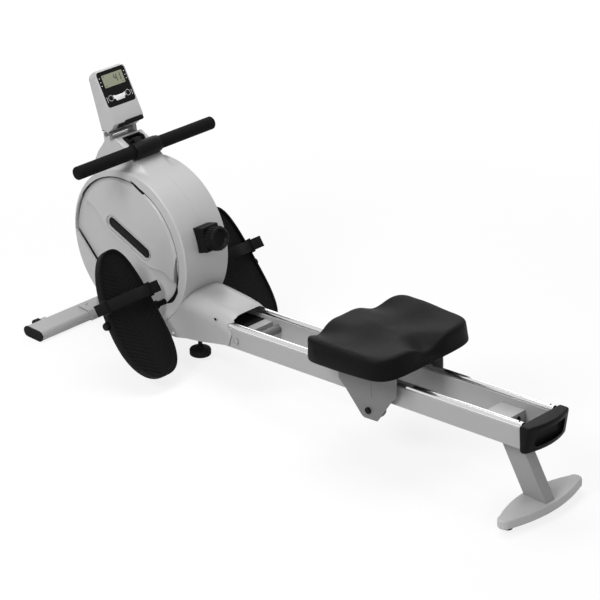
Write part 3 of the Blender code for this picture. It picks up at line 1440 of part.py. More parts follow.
def lower_axle(slide, looks):
    face = PLATE_Y + PLATE_THICKNESS + FIT
    section = [
        (0, -face - 0.005),
        (0.009, -face - 0.005),
        (0.009, -face),
        (LOWER_AXLE_RADIUS, -face),
        (LOWER_AXLE_RADIUS, face),
        (0.009, face),
        (0.009, face + 0.005),
        (0, face + 0.005),
    ]
    where = (0, 0, lower_roller_t())
    place("lower_axle", turned(section, 16), looks["steel"], slide, where, ALONG_Y)


def smooth_step(value, low, high):
    x = min(max((value - low) / (high - low), 0), 1)
    return x * x * (3 - 2 * x)


def bump(value, middle, width):
    return math.exp(-(((value - middle) / width) ** 2))


def seat_top(s, y):
    """Height of the crown: leg channels at the front, two wells and a tailbone notch."""
    front = 1 - smooth_step(s, 0.355, 0.480)
    rim = SEAT_RIM - SEAT_REAR_DROP * smooth_step(s, 0.42, 0.62)
    channels = SEAT_VALLEY_DEPTH * bump(abs(y), 0.106, 0.042) * front
    nose = 0.008 * bump(y, 0, 0.060) * front
    wells = SEAT_WELL_DEPTH * bump(abs(y), 0.078, 0.062) * bump(s, 0.500, 0.080)
    valley = 0.006 * bump(y, 0, 0.035) * smooth_step(s, 0.42, 0.50)
    notch = SEAT_NOTCH_DEPTH * bump(y, 0, 0.042) * smooth_step(s, 0.545, 0.620)
    return rim - channels - nose - wells - valley - notch


def seat_spot(scale, angle, depth=0.0):
    """A point of the seat's plan: bowed front, square front corners, rounder rear ones.

    The depth runs from 0 at the crown to 1 at the bottom, where the rear stands out a little.
    """
    c = math.cos(angle)
    d = math.sin(angle)
    n = SEAT_REAR_SQUARENESS if c > 0 else SEAT_FRONT_SQUARENESS
    reach = scale / (abs(c) ** n + abs(d) ** n) ** (1 / n)
    across = reach * d
    front = SEAT_FRONT + SEAT_FRONT_SWEEP * across**2
    rear = SEAT_REAR + SEAT_REAR_FLARE * depth - 0.007 * bump(across, 0, 0.20) * (1 - depth)
    s = front + (rear - front) * (reach * c + 1) / 2
    half = SEAT_HALF_WIDTH - SEAT_TAPER * smooth_step(s, 0.46, 0.62) * (1 - depth / 3)
    return s, half * across


def seat_cushion(slide, looks):
    """Rings from the crown out to the lip, down the side and back underneath."""
    bottom = CARRIAGE_TOP + 2 * FIT
    around = 44
    crown = [(0.24, 0), (0.46, 0), (0.65, 0), (0.80, 0), (0.91, 0), (0.97, 0.0010), (0.994, 0.0045)]
    sides = [(1.000, 0.0110, 0.1), (1.000, 0.030, 0.5)]
    under = [(0.998, 0.006, 1.0), (0.985, 0.0, 1.0)]
    rings = []
    for scale, drop in crown:
        rings.append((scale, 0, lambda s, y, drop=drop: seat_top(s, y) - drop))
    for scale, drop, depth in sides:
        rings.append((scale, depth, lambda s, y, drop=drop: max(seat_top(s, y) - drop, bottom + 0.012)))
    for scale, rise, depth in under:
        rings.append((scale, depth, lambda s, y, rise=rise: bottom + rise))
    bm = bmesh.new()
    centre = seat_spot(0, 0)
    middle = bm.verts.new((centre[0] - CARRIAGE_S, centre[1], seat_top(*centre)))
    loops = []
    for scale, depth, height in rings:
        loop = []
        for i in range(around):
            s, y = seat_spot(scale, 2 * math.pi * i / around, depth)
            loop.append(bm.verts.new((s - CARRIAGE_S, y, height(s, y))))
        loops.append(loop)
    base = bm.verts.new((centre[0] - CARRIAGE_S, centre[1], bottom))
    for i in range(around):
        after = (i + 1) % around
        bm.faces.new((middle, loops[0][i], loops[0][after]))
        for a, b in zip(loops, loops[1:]):
            bm.faces.new((a[i], b[i], b[after], a[after]))
        bm.faces.new((base, loops[-1][after], loops[-1][i]))
    place("seat_cushion", bm, looks["vinyl"], slide)


def make_looks():
    material("helper", (1.0, 0.3, 0.1), 0.8)
    return {
        "paint": material("light_grey_paint", (0.62, 0.62, 0.62), 0.40),
        "leg": material("leg_grey_paint", (0.50, 0.51, 0.52), 0.42),
        "black": material("black_plastic", (0.018, 0.018, 0.019), 0.48),
        "gloss": material("black_gloss_plastic", (0.008, 0.008, 0.008), 0.15),
        "foam": material("black_foam", (0.022, 0.022, 0.023), 0.85),
        "vinyl": material("black_seat_skin", (0.020, 0.020, 0.021), 0.55),
        "webbing": material("black_webbing", (0.020, 0.020, 0.020), 0.90),
        "chrome": material("chrome", (0.80, 0.80, 0.80), 0.08, 1.0),
        "steel": material("zinc_steel", (0.55, 0.55, 0.56), 0.30, 1.0),
        "iron": material("cast_iron", (0.20, 0.20, 0.21), 0.55, 1.0),
        "nylon": material("grey_nylon", (0.10, 0.10, 0.10), 0.45),
    }


def main():
    clear_scene()
    looks = make_looks()
    frame = empty("machine_frame", location=(middle_shift(), 0, 0))
    rails = empty("rail_frame", frame, (RAIL_START_X, 0, RAIL_START_Z), (0, -PITCH, 0))
    slide = empty("seat_slide", rails, (CARRIAGE_S, 0, 0))
    front_stabiliser(frame, looks)
    stabiliser_caps(frame, looks)
    transport_wheels(frame, looks)
    main_frame(frame, rails, looks)
    knob_axis = knob_axis_frame(frame)
    drum_shells(frame, knob_axis, looks)
    side_covers(frame, looks)
    flywheel(frame, looks)
    flywheel_axle(frame, looks)
    strap_spool(frame, looks)
    recoil_spring(frame, looks)
    magnet_arm(frame, looks)
    levelling_foot(frame, looks)
    lower_fairing(frame, rails, looks)
    neck_cover(frame, looks)
    tilt_pin(frame, looks)
    strap_guide(frame, looks)
    guide_roller(frame, looks)
    pull_strap(frame, looks)
    handle(frame, looks)
    console(frame, looks)
    knob(knob_axis, looks)
    pedal_bar(frame, looks)
    pedals(frame, looks)
    beams(rails, looks)
    cross_tube(rails, looks)
    assembly_bolt(rails, looks)
    head_bracket(rails, looks)
    rear_leg(frame, looks)
    rear_foot(frame, looks)
    end_cap(rails, looks)
    seat_carriage(slide, looks)
    rollers(slide, looks)
    lower_axle(slide, looks)
    seat_cushion(slide, looks)


main()
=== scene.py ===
"""Looks of the magnetic rowing machine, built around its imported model.

Laid out as an add-on and run as a script: each operator dresses one piece or group of like pieces.
All places are in metres in the model's own frame: +X to the rear foot, -Y the rower's left, +Z up.
Outlines of side faces are (x, z) points, and turned sections are (radius, height) points.
"""

import math

import bmesh
import bpy
from mathutils import Matrix, Vector


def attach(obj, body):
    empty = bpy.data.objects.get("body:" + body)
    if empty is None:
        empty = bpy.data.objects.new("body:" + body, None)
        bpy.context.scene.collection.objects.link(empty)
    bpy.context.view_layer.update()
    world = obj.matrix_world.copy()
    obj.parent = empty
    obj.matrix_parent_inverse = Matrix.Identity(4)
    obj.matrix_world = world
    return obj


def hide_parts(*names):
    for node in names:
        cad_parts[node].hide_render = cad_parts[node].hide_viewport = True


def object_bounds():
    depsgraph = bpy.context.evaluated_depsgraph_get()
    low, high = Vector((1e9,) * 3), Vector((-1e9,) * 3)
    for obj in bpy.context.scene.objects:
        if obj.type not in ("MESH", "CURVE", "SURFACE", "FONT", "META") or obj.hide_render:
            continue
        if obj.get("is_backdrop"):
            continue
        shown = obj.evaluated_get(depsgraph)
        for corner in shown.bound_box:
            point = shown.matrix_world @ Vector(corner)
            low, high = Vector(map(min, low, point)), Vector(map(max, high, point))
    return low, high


bl_info = {
    "name": "Rowing machine finishes",
    "version": (1, 0, 0),
    "blender": (4, 5, 0),
    "location": "View3D > Sidebar > Rower",
    "description": "Dresses the solids of a magnetic rowing machine with its finishes and fine forms",
    "category": "Object",
}

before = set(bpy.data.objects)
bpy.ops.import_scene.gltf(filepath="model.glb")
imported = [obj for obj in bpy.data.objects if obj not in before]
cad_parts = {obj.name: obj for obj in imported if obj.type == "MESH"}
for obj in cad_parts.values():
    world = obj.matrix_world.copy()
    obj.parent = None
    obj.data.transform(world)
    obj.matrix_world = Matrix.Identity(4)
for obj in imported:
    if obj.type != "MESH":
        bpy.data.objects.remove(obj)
CAD_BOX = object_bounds()

SIDES = ((-1, "left"), (1, "right"))
ALONG_X = Matrix.Rotation(math.pi / 2, 4, "Y")
ALONG_Y = Matrix.Rotation(-math.pi / 2, 4, "X")


def tilted(x, y, z, degrees):
    """A frame at a place, turned about Y."""
    return Matrix.Translation((x, y, z)) @ Matrix.Rotation(math.radians(degrees), 4, "Y")


# Places taken from the solids
DRUM = (-0.5673, 0.299)
DRUM_RADIUS = 0.2227
DRUM_SIDE = 0.080
BAR = (-0.5773, 0.5677)
PEDAL = (-0.4453, 0.1945, 0.1728)
STRAP_START = (-0.6039, 0.299)
GUIDE_ROLLER = (-0.6183, 0.578)
LEVELLER_X = -0.3783
CONSOLE_FRAME = tilted(-0.6783, 0, 0.593, -30)
KNOB_FRAME = tilted(-0.3555, 0, 0.3678, 72)
RAIL_FRAME = tilted(-0.1783, 0, 0.1839, -4.234)
PEDAL_FRAMES = {side: tilted(PEDAL[0], side * PEDAL[1], PEDAL[2], -36.3) for side, _ in SIDES}


# ---------------------------------------------------------------- sizes and colours


def length(name, description, default):
    return bpy.props.FloatProperty(
        name=name, description=description, default=default, min=0, unit="LENGTH", precision=4
    )


def colour(name, description, default):
    return bpy.props.FloatVectorProperty(
        name=name, description=description, default=default, size=3, min=0, max=1, subtype="COLOR"
    )


class RowerSizes(bpy.types.PropertyGroup):
    recess: length("Cover recess", "How deep the lower panel of the side cover lies", 0.0125)
    recess_slope: length("Recess slope", "Width of the slope from the upper to the lower panel", 0.0300)
    ridge_radius: length("Ridge radius", "Radius of the grip ridges on the foot plates", 0.0013)
    ridge_pitch: length("Ridge pitch", "Distance from one grip ridge to the next", 0.0125)
    flute_radius: length("Flute radius", "Radius of the grip ribs round the knob", 0.0019)
    screw_radius: length("Screw radius", "Radius of the small pan-head screws", 0.0044)
    stitch_length: length("Stitch length", "Length of one stitch on the straps", 0.0030)
    seat_swell: length("Seat swell", "The most that the seat's skin may swell over its foam", 0.0022)


class RowerColours(bpy.types.PropertyGroup):
    shell: colour("Shell grey", "Moulded plastic of the drum, neck and display", (0.470, 0.466, 0.468))
    paint: colour("Paint grey", "Powder coat of the steel tubes", (0.390, 0.387, 0.388))
    leg: colour("Leg grey", "Powder coat of the rear leg", (0.300, 0.297, 0.298))
    foot: colour("Foot grey", "Powder coat of the rear foot", (0.490, 0.486, 0.488))
    fairing: colour("Fairing grey", "Moulded plastic of the lower fairing", (0.410, 0.406, 0.408))
    plate: colour("Plate grey", "Powder coat of the seat's carriage", (0.170, 0.168, 0.169))
    black: colour("Moulded black", "Black moulded plastic and painted shade", (0.0048, 0.0048, 0.0050))
    foam: colour("Foam black", "Foam of the handle's grips", (0.0038, 0.0038, 0.0040))
    skin: colour("Seat black", "Skin of the seat", (0.0048, 0.0048, 0.0050))
    webbing: colour("Webbing black", "Woven straps", (0.0060, 0.0060, 0.0062))
    glass: colour("Display", "Ground of the display's window", (0.265, 0.280, 0.200))


def sizes():
    return bpy.context.scene.rower_sizes


# ---------------------------------------------------------------- meshes


def link(name, mesh):
    obj = bpy.data.objects.new(name, mesh)
    bpy.context.scene.collection.objects.link(obj)
    return obj


def mesh_from(name, bm, matrix=None):
    mesh = bpy.data.meshes.new(name)
    bm.to_mesh(mesh)
    bm.free()
    if matrix is not None:
        mesh.transform(matrix)
    return mesh


def solid(name, bm, matrix=None):
    """An object from a closed form, its doubles merged and its faces outwards."""
    bmesh.ops.remove_doubles(bm, verts=bm.verts, dist=1e-6)
    bmesh.ops.recalc_face_normals(bm, faces=bm.faces)
    return link(name, mesh_from(name, bm, matrix))


def bake(obj):
    """Turns the object's modifiers into its plain mesh."""
    graph = bpy.context.evaluated_depsgraph_get()
    mesh = bpy.data.meshes.new_from_object(obj.evaluated_get(graph))
    obj.modifiers.clear()
    obj.data = mesh
    return obj


def carve(obj, tools, operation="DIFFERENCE"):
    """Cuts the tools out of an object, or joins it with them, and removes them."""
    for tool in tools:
        cutter = obj.modifiers.new(tool.name, "BOOLEAN")
        cutter.object = tool
        cutter.operation = operation
        cutter.solver = "EXACT"
    bake(obj)
    for tool in tools:
        bpy.data.objects.remove(tool)
    return obj


def soften(obj, width, segments=2, angle=30):
    """Rounds the edges over an angle."""
    bevel = obj.modifiers.new("soft_edges", "BEVEL")
    bevel.width = width
    bevel.segments = segments
    bevel.limit_method = "ANGLE"
    bevel.angle_limit = math.radians(angle)
    bevel.use_clamp_overlap = True
    return bake(obj)


def ring_spots(centre, radius, angles):
    return [(centre[0] + radius * math.cos(a), centre[1] + radius * math.sin(a)) for a in angles]


def arc(radius, start, sweep, count, centre=(0, 0)):
    return ring_spots(centre, radius, [start + sweep * i / count for i in range(count + 1)])


def circle(radius, count, centre=(0, 0)):
    return arc(radius, 0, 2 * math.pi, count, centre)[:-1]


def slot(start, end, radius, count=14):
    turn = math.atan2(end[1] - start[1], end[0] - start[0])
    head = arc(radius, turn - math.pi / 2, math.pi, count, end)
    return head + arc(radius, turn + math.pi / 2, math.pi, count, start)


def rounded(width, height, radius, centre=(0, 0), count=8):
    x = width / 2 - radius
    y = height / 2 - radius
    points = []
    for a, b, turn in ((x, y, 0), (-x, y, 0.5), (-x, -y, 1), (x, -y, 1.5)):
        points += arc(radius, turn * math.pi, math.pi / 2, count, (centre[0] + a, centre[1] + b))
    return points


def smooth_run(a, b, c, d, count):
    """Spots of a smooth curve from b up to c, which is left to the next run."""
    for k in range(count):
        t = k / count
        bend = (2 * a - 5 * b + 4 * c - d) * t**2 + (3 * b - a - 3 * c + d) * t**3
        yield tuple(0.5 * (2 * b + (c - a) * t + bend))


def closed_curve(points, count=6):
    """A closed smooth line through points."""
    spots = [Vector(p) for p in points]
    out = []
    for i in range(len(spots)):
        out += smooth_run(*(spots[(i + k) % len(spots)] for k in (-1, 0, 1, 2)), count)
    return out


def open_curve(points, count=6):
    """A smooth line from the first point to the last."""
    spots = [Vector(p) for p in (points[0], *points, points[-1])]
    out = []
    for i in range(1, len(spots) - 2):
        out += smooth_run(*spots[i - 1 : i + 3], count)
    return out + [tuple(points[-1])]


def smooth_step(value, low, high):
    x = min(max((value - low) / (high - low), 0), 1)
    return x * x * (3 - 2 * x)


def bell(value, middle, width):
    return math.exp(-(((value - middle) / width) ** 2))


def span(side, a, b):
    """Two distances from the middle plane, on one side of it, as the lower and the higher Y."""
    return sorted((side * a, side * b))


PLANES = {
    "xz": lambda a, b, depth: (a, depth, b),
    "yz": lambda a, b, depth: (depth, a, b),
    "xy": lambda a, b, depth: (a, b, depth),
}


def prism(outline, low, high, plane="xz"):
    """An outline drawn in one plane and carried between two depths."""
    bm = bmesh.new()
    near = [bm.verts.new(PLANES[plane](a, b, low)) for a, b in outline]
    far = [bm.verts.new(PLANES[plane](a, b, high)) for a, b in outline]
    bm.faces.new(near)
    bm.faces.new(far)
    for i in range(len(near)):
        j = (i + 1) % len(near)
        bm.faces.new((near[i], near[j], far[j], far[i]))
    return bm


def block(x, y, z):
    return prism([(x[0], z[0]), (x[1], z[0]), (x[1], z[1]), (x[0], z[1])], y[0], y[1])


def turned(profile, steps):
    """A closed section of (radius, height) points turned about local Z."""
    bm = bmesh.new()
    rings = []
    turns = [2 * math.pi * i / steps for i in range(steps)]
    for radius, height in profile:
        if radius < 1e-7:
            rings.append([bm.verts.new((0, 0, height))] * steps)
        else:
            rings.append([bm.verts.new((*spot, height)) for spot in ring_spots((0, 0), radius, turns)])
    for a, b in zip(rings, rings[1:] + rings[:1]):
        for i in range(steps):
            j = (i + 1) % steps
            corners = list(dict.fromkeys((a[i], a[j], b[j], b[i])))
            if len(corners) > 2:
                bm.faces.new(corners)
    return bm


def rod(radius, low, high, steps):
    return turned([(0, low), (radius, low), (radius, high), (0, high)], steps)


def loft(rings):
    """Skins closed rings of equal count and closes both ends."""
    bm = bmesh.new()
    loops = [[bm.verts.new(p) for p in ring] for ring in rings]
    count = len(loops[0])
    for a, b in zip(loops, loops[1:]):
        for i in range(count):
            j = (i + 1) % count
            bm.faces.new((a[i], a[j], b[j], b[i]))
    bm.faces.new(loops[0])
    bm.faces.new(loops[-1])
    return bm


def dome(rings, top, base):
    """Skins rings of equal count from a middle point on top to one underneath."""
    bm = bmesh.new()
    loops = [[bm.verts.new(p) for p in ring] for ring in rings]
    count = len(loops[0])
    crown = bm.verts.new(top)
    under = bm.verts.new(base)
    for i in range(count):
        j = (i + 1) % count
        bm.faces.new((crown, loops[0][i], loops[0][j]))
        for a, b in zip(loops, loops[1:]):
            bm.faces.new((a[i], b[i], b[j], a[j]))
        bm.faces.new((under, loops[-1][j], loops[-1][i]))
    return bm


def joined(name, parts, matrix):
    """Many small closed forms as one object."""
    bm = bmesh.new()
    for part in parts:
        mesh = mesh_from("part", part)
        bm.from_mesh(mesh)
        bpy.data.meshes.remove(mesh)
    bmesh.ops.recalc_face_normals(bm, faces=bm.faces)
    return link(name, mesh_from(name, bm, matrix))


def set_finish(obj, material):
    obj.data.materials.clear()
    obj.data.materials.append(material)


def place(obj, look, body, replaces=(), angle=35, flat=False):
    """Hands a finished piece to the model: its finish, its body and the solids that it stands for.

    A flat piece has its normals leant towards its large faces, so that flat sides shade flat.
    """
    obj.data.shade_smooth()
    obj.data.set_sharp_from_angle(angle=math.radians(angle))
    if flat:
        lean = obj.modifiers.new("lean", "WEIGHTED_NORMAL")
        lean.keep_sharp = True
        lean.weight = 90
        bake(obj)
    set_finish(obj, finish(look))
    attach(obj, body)
    if replaces:
        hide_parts(*replaces)
    return obj


def refined(node, width=0.0, segments=2, angle=30):
    """A merged copy of a solid with its flat faces rejoined, its edges rounded."""
    bm = bmesh.new()
    bm.from_mesh(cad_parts[node].data)
    bmesh.ops.remove_doubles(bm, verts=bm.verts, dist=2e-6)
    bmesh.ops.dissolve_limit(
        bm, angle_limit=math.radians(0.6), verts=bm.verts, edges=bm.edges, use_dissolve_boundaries=False
    )
    obj = link(node + "_finished", mesh_from(node + "_finished", bm))
    if width:
        soften(obj, width, segments, angle)
    return obj


def dress(node, look, body, width=0.0, segments=2, angle=30):
    """Replaces a solid by its refined copy."""
    return place(refined(node, width, segments, angle), look, body, (node,), flat=True)


# ---------------------------------------------------------------- node trees


SOCKETS = {
    "Geometry": "NodeSocketGeometry",
    "Material": "NodeSocketMaterial",
    "Vector": "NodeSocketVector",
    "Colour": "NodeSocketColor",
}


class Tree:
    """Short hand for building a node tree with named inputs and outputs."""

    def __init__(self, name, kind, outlets, inlets):
        self.tree = bpy.data.node_groups.new(name, kind)
        self.start = self.tree.nodes.new("NodeGroupInput")
        self.end = self.tree.nodes.new("NodeGroupOutput")
        for label, default in inlets.items():
            self.socket(label.replace("_", " "), "INPUT", default)
        for label in outlets:
            self.socket(label, "OUTPUT")

    def socket(self, label, way, default=None):
        number = "NodeSocketInt" if isinstance(default, int) else "NodeSocketFloat"
        kind = SOCKETS.get(label, number)
        made = self.tree.interface.new_socket(name=label, in_out=way, socket_type=kind)
        if default is not None:
            made.default_value = default

    def node(self, kind, settings=None, **inputs):
        made = self.tree.nodes.new(kind)
        for key, value in (settings or {}).items():
            setattr(made, key, value)
        for key, value in inputs.items():
            self.feed(made.inputs[key.replace("_", " ")], value)
        return made

    def feed(self, socket, value):
        if isinstance(value, bpy.types.NodeSocket):
            self.tree.links.new(value, socket)
        else:
            socket.default_value = value

    def maths(self, operation, first, second=None, kind="ShaderNodeMath"):
        made = self.node(kind, {"operation": operation})
        self.feed(made.inputs[0], first)
        if second is not None:
            self.feed(made.inputs[1], second)
        return made.outputs[0]

    def scaled(self, vector, factor):
        made = self.node("ShaderNodeVectorMath", {"operation": "SCALE"}, Scale=factor)
        self.feed(made.inputs[0], vector)
        return made.outputs[0]

    def given(self, name):
        return self.start.outputs[name]

    def give(self, **values):
        for name, value in values.items():
            self.tree.links.new(value, self.end.inputs[name])
        return self.tree


class GrowthTree(Tree):
    """A geometry tree that takes a mesh, sizes and a material, and gives a coated mesh."""

    def __init__(self, name, **inlets):
        super().__init__(
            name, "GeometryNodeTree", ["Geometry"], {"Geometry": None, **inlets, "Material": None}
        )
        self.tree.is_modifier = True

    def coated(self, geometry):
        """Makes the copies real, gives them the material and ends the tree."""
        real = self.node("GeometryNodeRealizeInstances", Geometry=geometry)
        coat = self.node("GeometryNodeSetMaterial", Geometry=real.outputs[0], Material=self.given("Material"))
        return self.give(Geometry=coat.outputs[0])


def ridge_tree():
    """Turns drawn lines into round ridges."""
    t = GrowthTree("Round ridges along lines", Radius=0.001, Sides=8)
    curve = t.node("GeometryNodeMeshToCurve", Mesh=t.given("Geometry"))
    section = t.node(
        "GeometryNodeCurvePrimitiveCircle", Resolution=t.given("Sides"), Radius=t.given("Radius")
    )
    swept = t.node(
        "GeometryNodeCurveToMesh",
        Curve=curve.outputs[0],
        Profile_Curve=section.outputs["Curve"],
        Fill_Caps=True,
    )
    return t.coated(swept.outputs[0])


def screw_tree():
    """Sets a cross-head screw on each point, its head along the point's out vector."""
    t = GrowthTree("Screws on points", Radius=0.0035, Height=0.0016, Recess=0.0009)
    radius = t.given("Radius")
    height = t.given("Height")
    head = t.node(
        "GeometryNodeMeshCone",
        Vertices=20,
        Radius_Top=t.maths("MULTIPLY", radius, 0.62),
        Radius_Bottom=radius,
        Depth=height,
    )
    up = t.node("ShaderNodeCombineXYZ", Z=t.maths("ADD", t.given("Recess"), height))
    crossed = t.node("GeometryNodeMeshBoolean", {"operation": "DIFFERENCE", "solver": "EXACT"})
    t.feed(crossed.inputs[0], head.outputs["Mesh"])
    for across, along in ((1.3, 0.24), (0.24, 1.3)):
        wide = t.maths("MULTIPLY", radius, across)
        long = t.maths("MULTIPLY", radius, along)
        size = t.node("ShaderNodeCombineXYZ", X=wide, Y=long, Z=height)
        bar = t.node("GeometryNodeMeshCube", Size=size.outputs[0])
        raised = t.node("GeometryNodeTransform", Geometry=bar.outputs[0], Translation=up.outputs[0])
        t.feed(crossed.inputs[1], raised.outputs[0])
    out = t.node("GeometryNodeInputNamedAttribute", {"data_type": "FLOAT_VECTOR"}, Name="out")
    facing = t.node("FunctionNodeAlignEulerToVector", {"axis": "Z"}, Vector=out.outputs[0])
    copies = t.node(
        "GeometryNodeInstanceOnPoints",
        Points=t.given("Geometry"),
        Instance=crossed.outputs[0],
        Rotation=facing.outputs[0],
    )
    return t.coated(copies.outputs[0])


def ring_tree():
    """Copies an upright rib in a ring about local Z."""
    t = GrowthTree("Ribs in a ring", Ring_radius=0.02, Count=24)
    ring = t.node(
        "GeometryNodeCurvePrimitiveCircle", Resolution=t.given("Count"), Radius=t.given("Ring radius")
    )
    spots = t.node("GeometryNodeCurveToPoints", {"mode": "EVALUATED"}, Curve=ring.outputs["Curve"])
    copies = t.node(
        "GeometryNodeInstanceOnPoints", Points=spots.outputs["Points"], Instance=t.given("Geometry")
    )
    return t.coated(copies.outputs[0])


def stitch_tree():
    """Lays short threads end to end along drawn lines."""
    t = GrowthTree("Stitches along lines", Stitch_length=0.003, Thread_radius=0.00035)
    stitch = t.given("Stitch length")
    curve = t.node("GeometryNodeMeshToCurve", Mesh=t.given("Geometry"))
    step = t.maths("MULTIPLY", stitch, 1.45)
    spots = t.node("GeometryNodeCurveToPoints", {"mode": "LENGTH"}, Curve=curve.outputs[0], Length=step)
    thread = t.node("GeometryNodeMeshCylinder", Vertices=6, Radius=t.given("Thread radius"), Depth=stitch)
    copies = t.node(
        "GeometryNodeInstanceOnPoints",
        Points=spots.outputs["Points"],
        Instance=thread.outputs["Mesh"],
        Rotation=spots.outputs["Rotation"],
    )
    return t.coated(copies.outputs[0])


GROWTHS = {"ridges": ridge_tree, "screws": screw_tree, "ring": ring_tree, "stitches": stitch_tree}
TREES = {}


def shared(make):
    """A tree that is built once and used by all who ask for it."""
    if make not in TREES:
        TREES[make] = make()
    return TREES[make]


def grown(name, mesh, kind, look, inputs, matrix=None):
    """Runs one of the geometry trees on a mesh and keeps the result as a plain mesh."""
    tree = shared(GROWTHS[kind])
    obj = link(name, mesh)
    modifier = obj.modifiers.new(kind, "NODES")
    modifier.node_group = tree
    values = dict(inputs, Material=finish(look))
    for item in tree.interface.items_tree:
        if item.in_out == "INPUT" and item.name in values:
            modifier[item.identifier] = values[item.name]
    bake(obj)
    if matrix is not None:
        obj.data.transform(matrix)
    return obj


def lines_mesh(name, lines):
    """A mesh of edges only, one run for each line."""
    points = []
    edges = []
    for line in lines:
        first = len(points)
        points += [tuple(p) for p in line]
        edges += [(first + i, first + i + 1) for i in range(len(line) - 1)]
    mesh = bpy.data.meshes.new(name)
    mesh.from_pydata(points, edges, [])
    return mesh


def closed_line(points):
    return list(points) + [points[0]]


def points_mesh(name, spots):
    """A mesh of points that carry the way a screw's head faces."""
    mesh = bpy.data.meshes.new(name)
    mesh.from_pydata([tuple(p) for p, _ in spots], [], [])
    out = mesh.attributes.new("out", "FLOAT_VECTOR", "POINT")
    for i, (_, way) in enumerate(spots):
        out.data[i].vector = way
    return mesh


# ---------------------------------------------------------------- finishes


def fine_surface():
    """Tone drift, mottle and a fine surface grain for paint and moulded plastic."""
    inlets = {
        "Vector": None,
        "Colour": (0.5, 0.5, 0.5, 1),
        "Drift": 0.06,
        "Roughness": 0.4,
        "Roughness drift": 0.08,
        "Grain scale": 900.0,
    }
    t = Tree("Fine surface", "ShaderNodeTree", ("Colour", "Roughness", "Height"), inlets)
    wide = t.node("ShaderNodeTexNoise", Vector=t.given("Vector"), Scale=6.0, Detail=3.0)
    fine = t.node("ShaderNodeTexNoise", Vector=t.given("Vector"), Scale=t.given("Grain scale"), Detail=2.0)
    centred = t.maths("SUBTRACT", wide.outputs["Fac"], 0.5)
    tone = t.maths("ADD", t.maths("MULTIPLY", centred, t.given("Drift")), 1.0)
    change = t.maths("MULTIPLY", centred, t.given("Roughness drift"))
    return t.give(
        Colour=t.scaled(t.given("Colour"), tone),
        Roughness=t.maths("ADD", change, t.given("Roughness")),
        Height=fine.outputs["Fac"],
    )


def cell_grain():
    """Rounded cells for leather grain, closed foam and cast metal."""
    t = Tree("Cell grain", "ShaderNodeTree", ("Height", "Crease"), {"Vector": None, "Cell scale": 700.0})
    bend = t.node("ShaderNodeTexNoise", Vector=t.given("Vector"), Scale=120.0, Detail=1.0)
    push = t.scaled(bend.outputs["Color"], 0.002)
    moved = t.maths("ADD", t.given("Vector"), push, "ShaderNodeVectorMath")
    cells = t.node(
        "ShaderNodeTexVoronoi", {"feature": "DISTANCE_TO_EDGE"}, Vector=moved, Scale=t.given("Cell scale")
    )
    raised = t.node(
        "ShaderNodeMapRange",
        {"interpolation_type": "SMOOTHSTEP"},
        Value=cells.outputs["Distance"],
        From_Max=0.25,
    )
    height = raised.outputs["Result"]
    return t.give(Height=height, Crease=t.maths("SUBTRACT", 1.0, height))


def plain_weave():
    """Plain weave in two directions of a piece's own map."""
    t = Tree("Plain weave", "ShaderNodeTree", ("Height",), {"Vector": None, "Threads": 900.0})
    parts = t.node("ShaderNodeSeparateXYZ", Vector=t.given("Vector"))
    waves = [
        t.maths("SINE", t.maths("MULTIPLY", parts.outputs[axis], t.given("Threads"))) for axis in ("X", "Y")
    ]
    ranged = t.node("ShaderNodeMapRange", Value=t.maths("MULTIPLY", *waves), From_Min=-1.0)
    return t.give(Height=ranged.outputs["Result"])


def drawn_lines():
    """Fine lines along X, as drawing or polishing leaves on metal."""
    inlets = {"Vector": None, "Roughness": 0.1, "Line depth": 0.05}
    t = Tree("Drawn lines", "ShaderNodeTree", ("Roughness", "Height"), inlets)
    stretched = t.node("ShaderNodeMapping", Vector=t.given("Vector"), Scale=(4.0, 900.0, 900.0))
    lines = t.node("ShaderNodeTexNoise", Vector=stretched.outputs[0], Scale=1.0, Detail=3.0)
    spread = t.maths("MULTIPLY", lines.outputs["Fac"], t.given("Line depth"))
    return t.give(
        Roughness=t.maths("ADD", spread, t.given("Roughness")),
        Height=lines.outputs["Fac"],
    )


class Coating:
    """A material round one Principled BSDF, which shared groups feed on the piece's own coordinates."""

    def __init__(self, name, specular=0.5, metallic=0.0):
        self.material = bpy.data.materials.new(name)
        self.material.use_nodes = True
        self.nodes = self.material.node_tree.nodes
        self.links = self.material.node_tree.links
        self.inputs = self.nodes["Principled BSDF"].inputs
        self.inputs["Metallic"].default_value = metallic
        self.inputs["Specular IOR Level"].default_value = specular
        self.where = self.nodes.new("ShaderNodeTexCoord").outputs["Object"]

    def group(self, make, vector=None, **inputs):
        made = self.nodes.new("ShaderNodeGroup")
        made.node_tree = shared(make)
        for key, value in inputs.items():
            made.inputs[key.replace("_", " ")].default_value = value
        self.links.new(vector or self.where, made.inputs["Vector"])
        return made.outputs

    def surface(self, tint, drift, roughness=0.4, roughness_drift=0.08, grain=900):
        return self.group(
            fine_surface,
            Colour=(*tint, 1),
            Drift=drift,
            Roughness=roughness,
            Roughness_drift=roughness_drift,
            Grain_scale=grain,
        )

    def mix(self, share):
        """A mix of two colours by a mask: its two colour inputs and its result."""
        mixed = self.nodes.new("ShaderNodeMix")
        mixed.data_type = "RGBA"
        self.links.new(share, mixed.inputs[0])
        return mixed.inputs[6], mixed.inputs[7], mixed.outputs[2]

    def finished(self, colour, roughness, height, strength, depth):
        """Feeds the material its colour, roughness and relief."""
        self.links.new(colour, self.inputs["Base Color"])
        self.links.new(roughness, self.inputs["Roughness"])
        bump = self.nodes.new("ShaderNodeBump")
        bump.inputs["Strength"].default_value = strength
        bump.inputs["Distance"].default_value = depth
        self.links.new(height, bump.inputs["Height"])
        self.links.new(bump.outputs[0], self.inputs["Normal"])
        return self.material


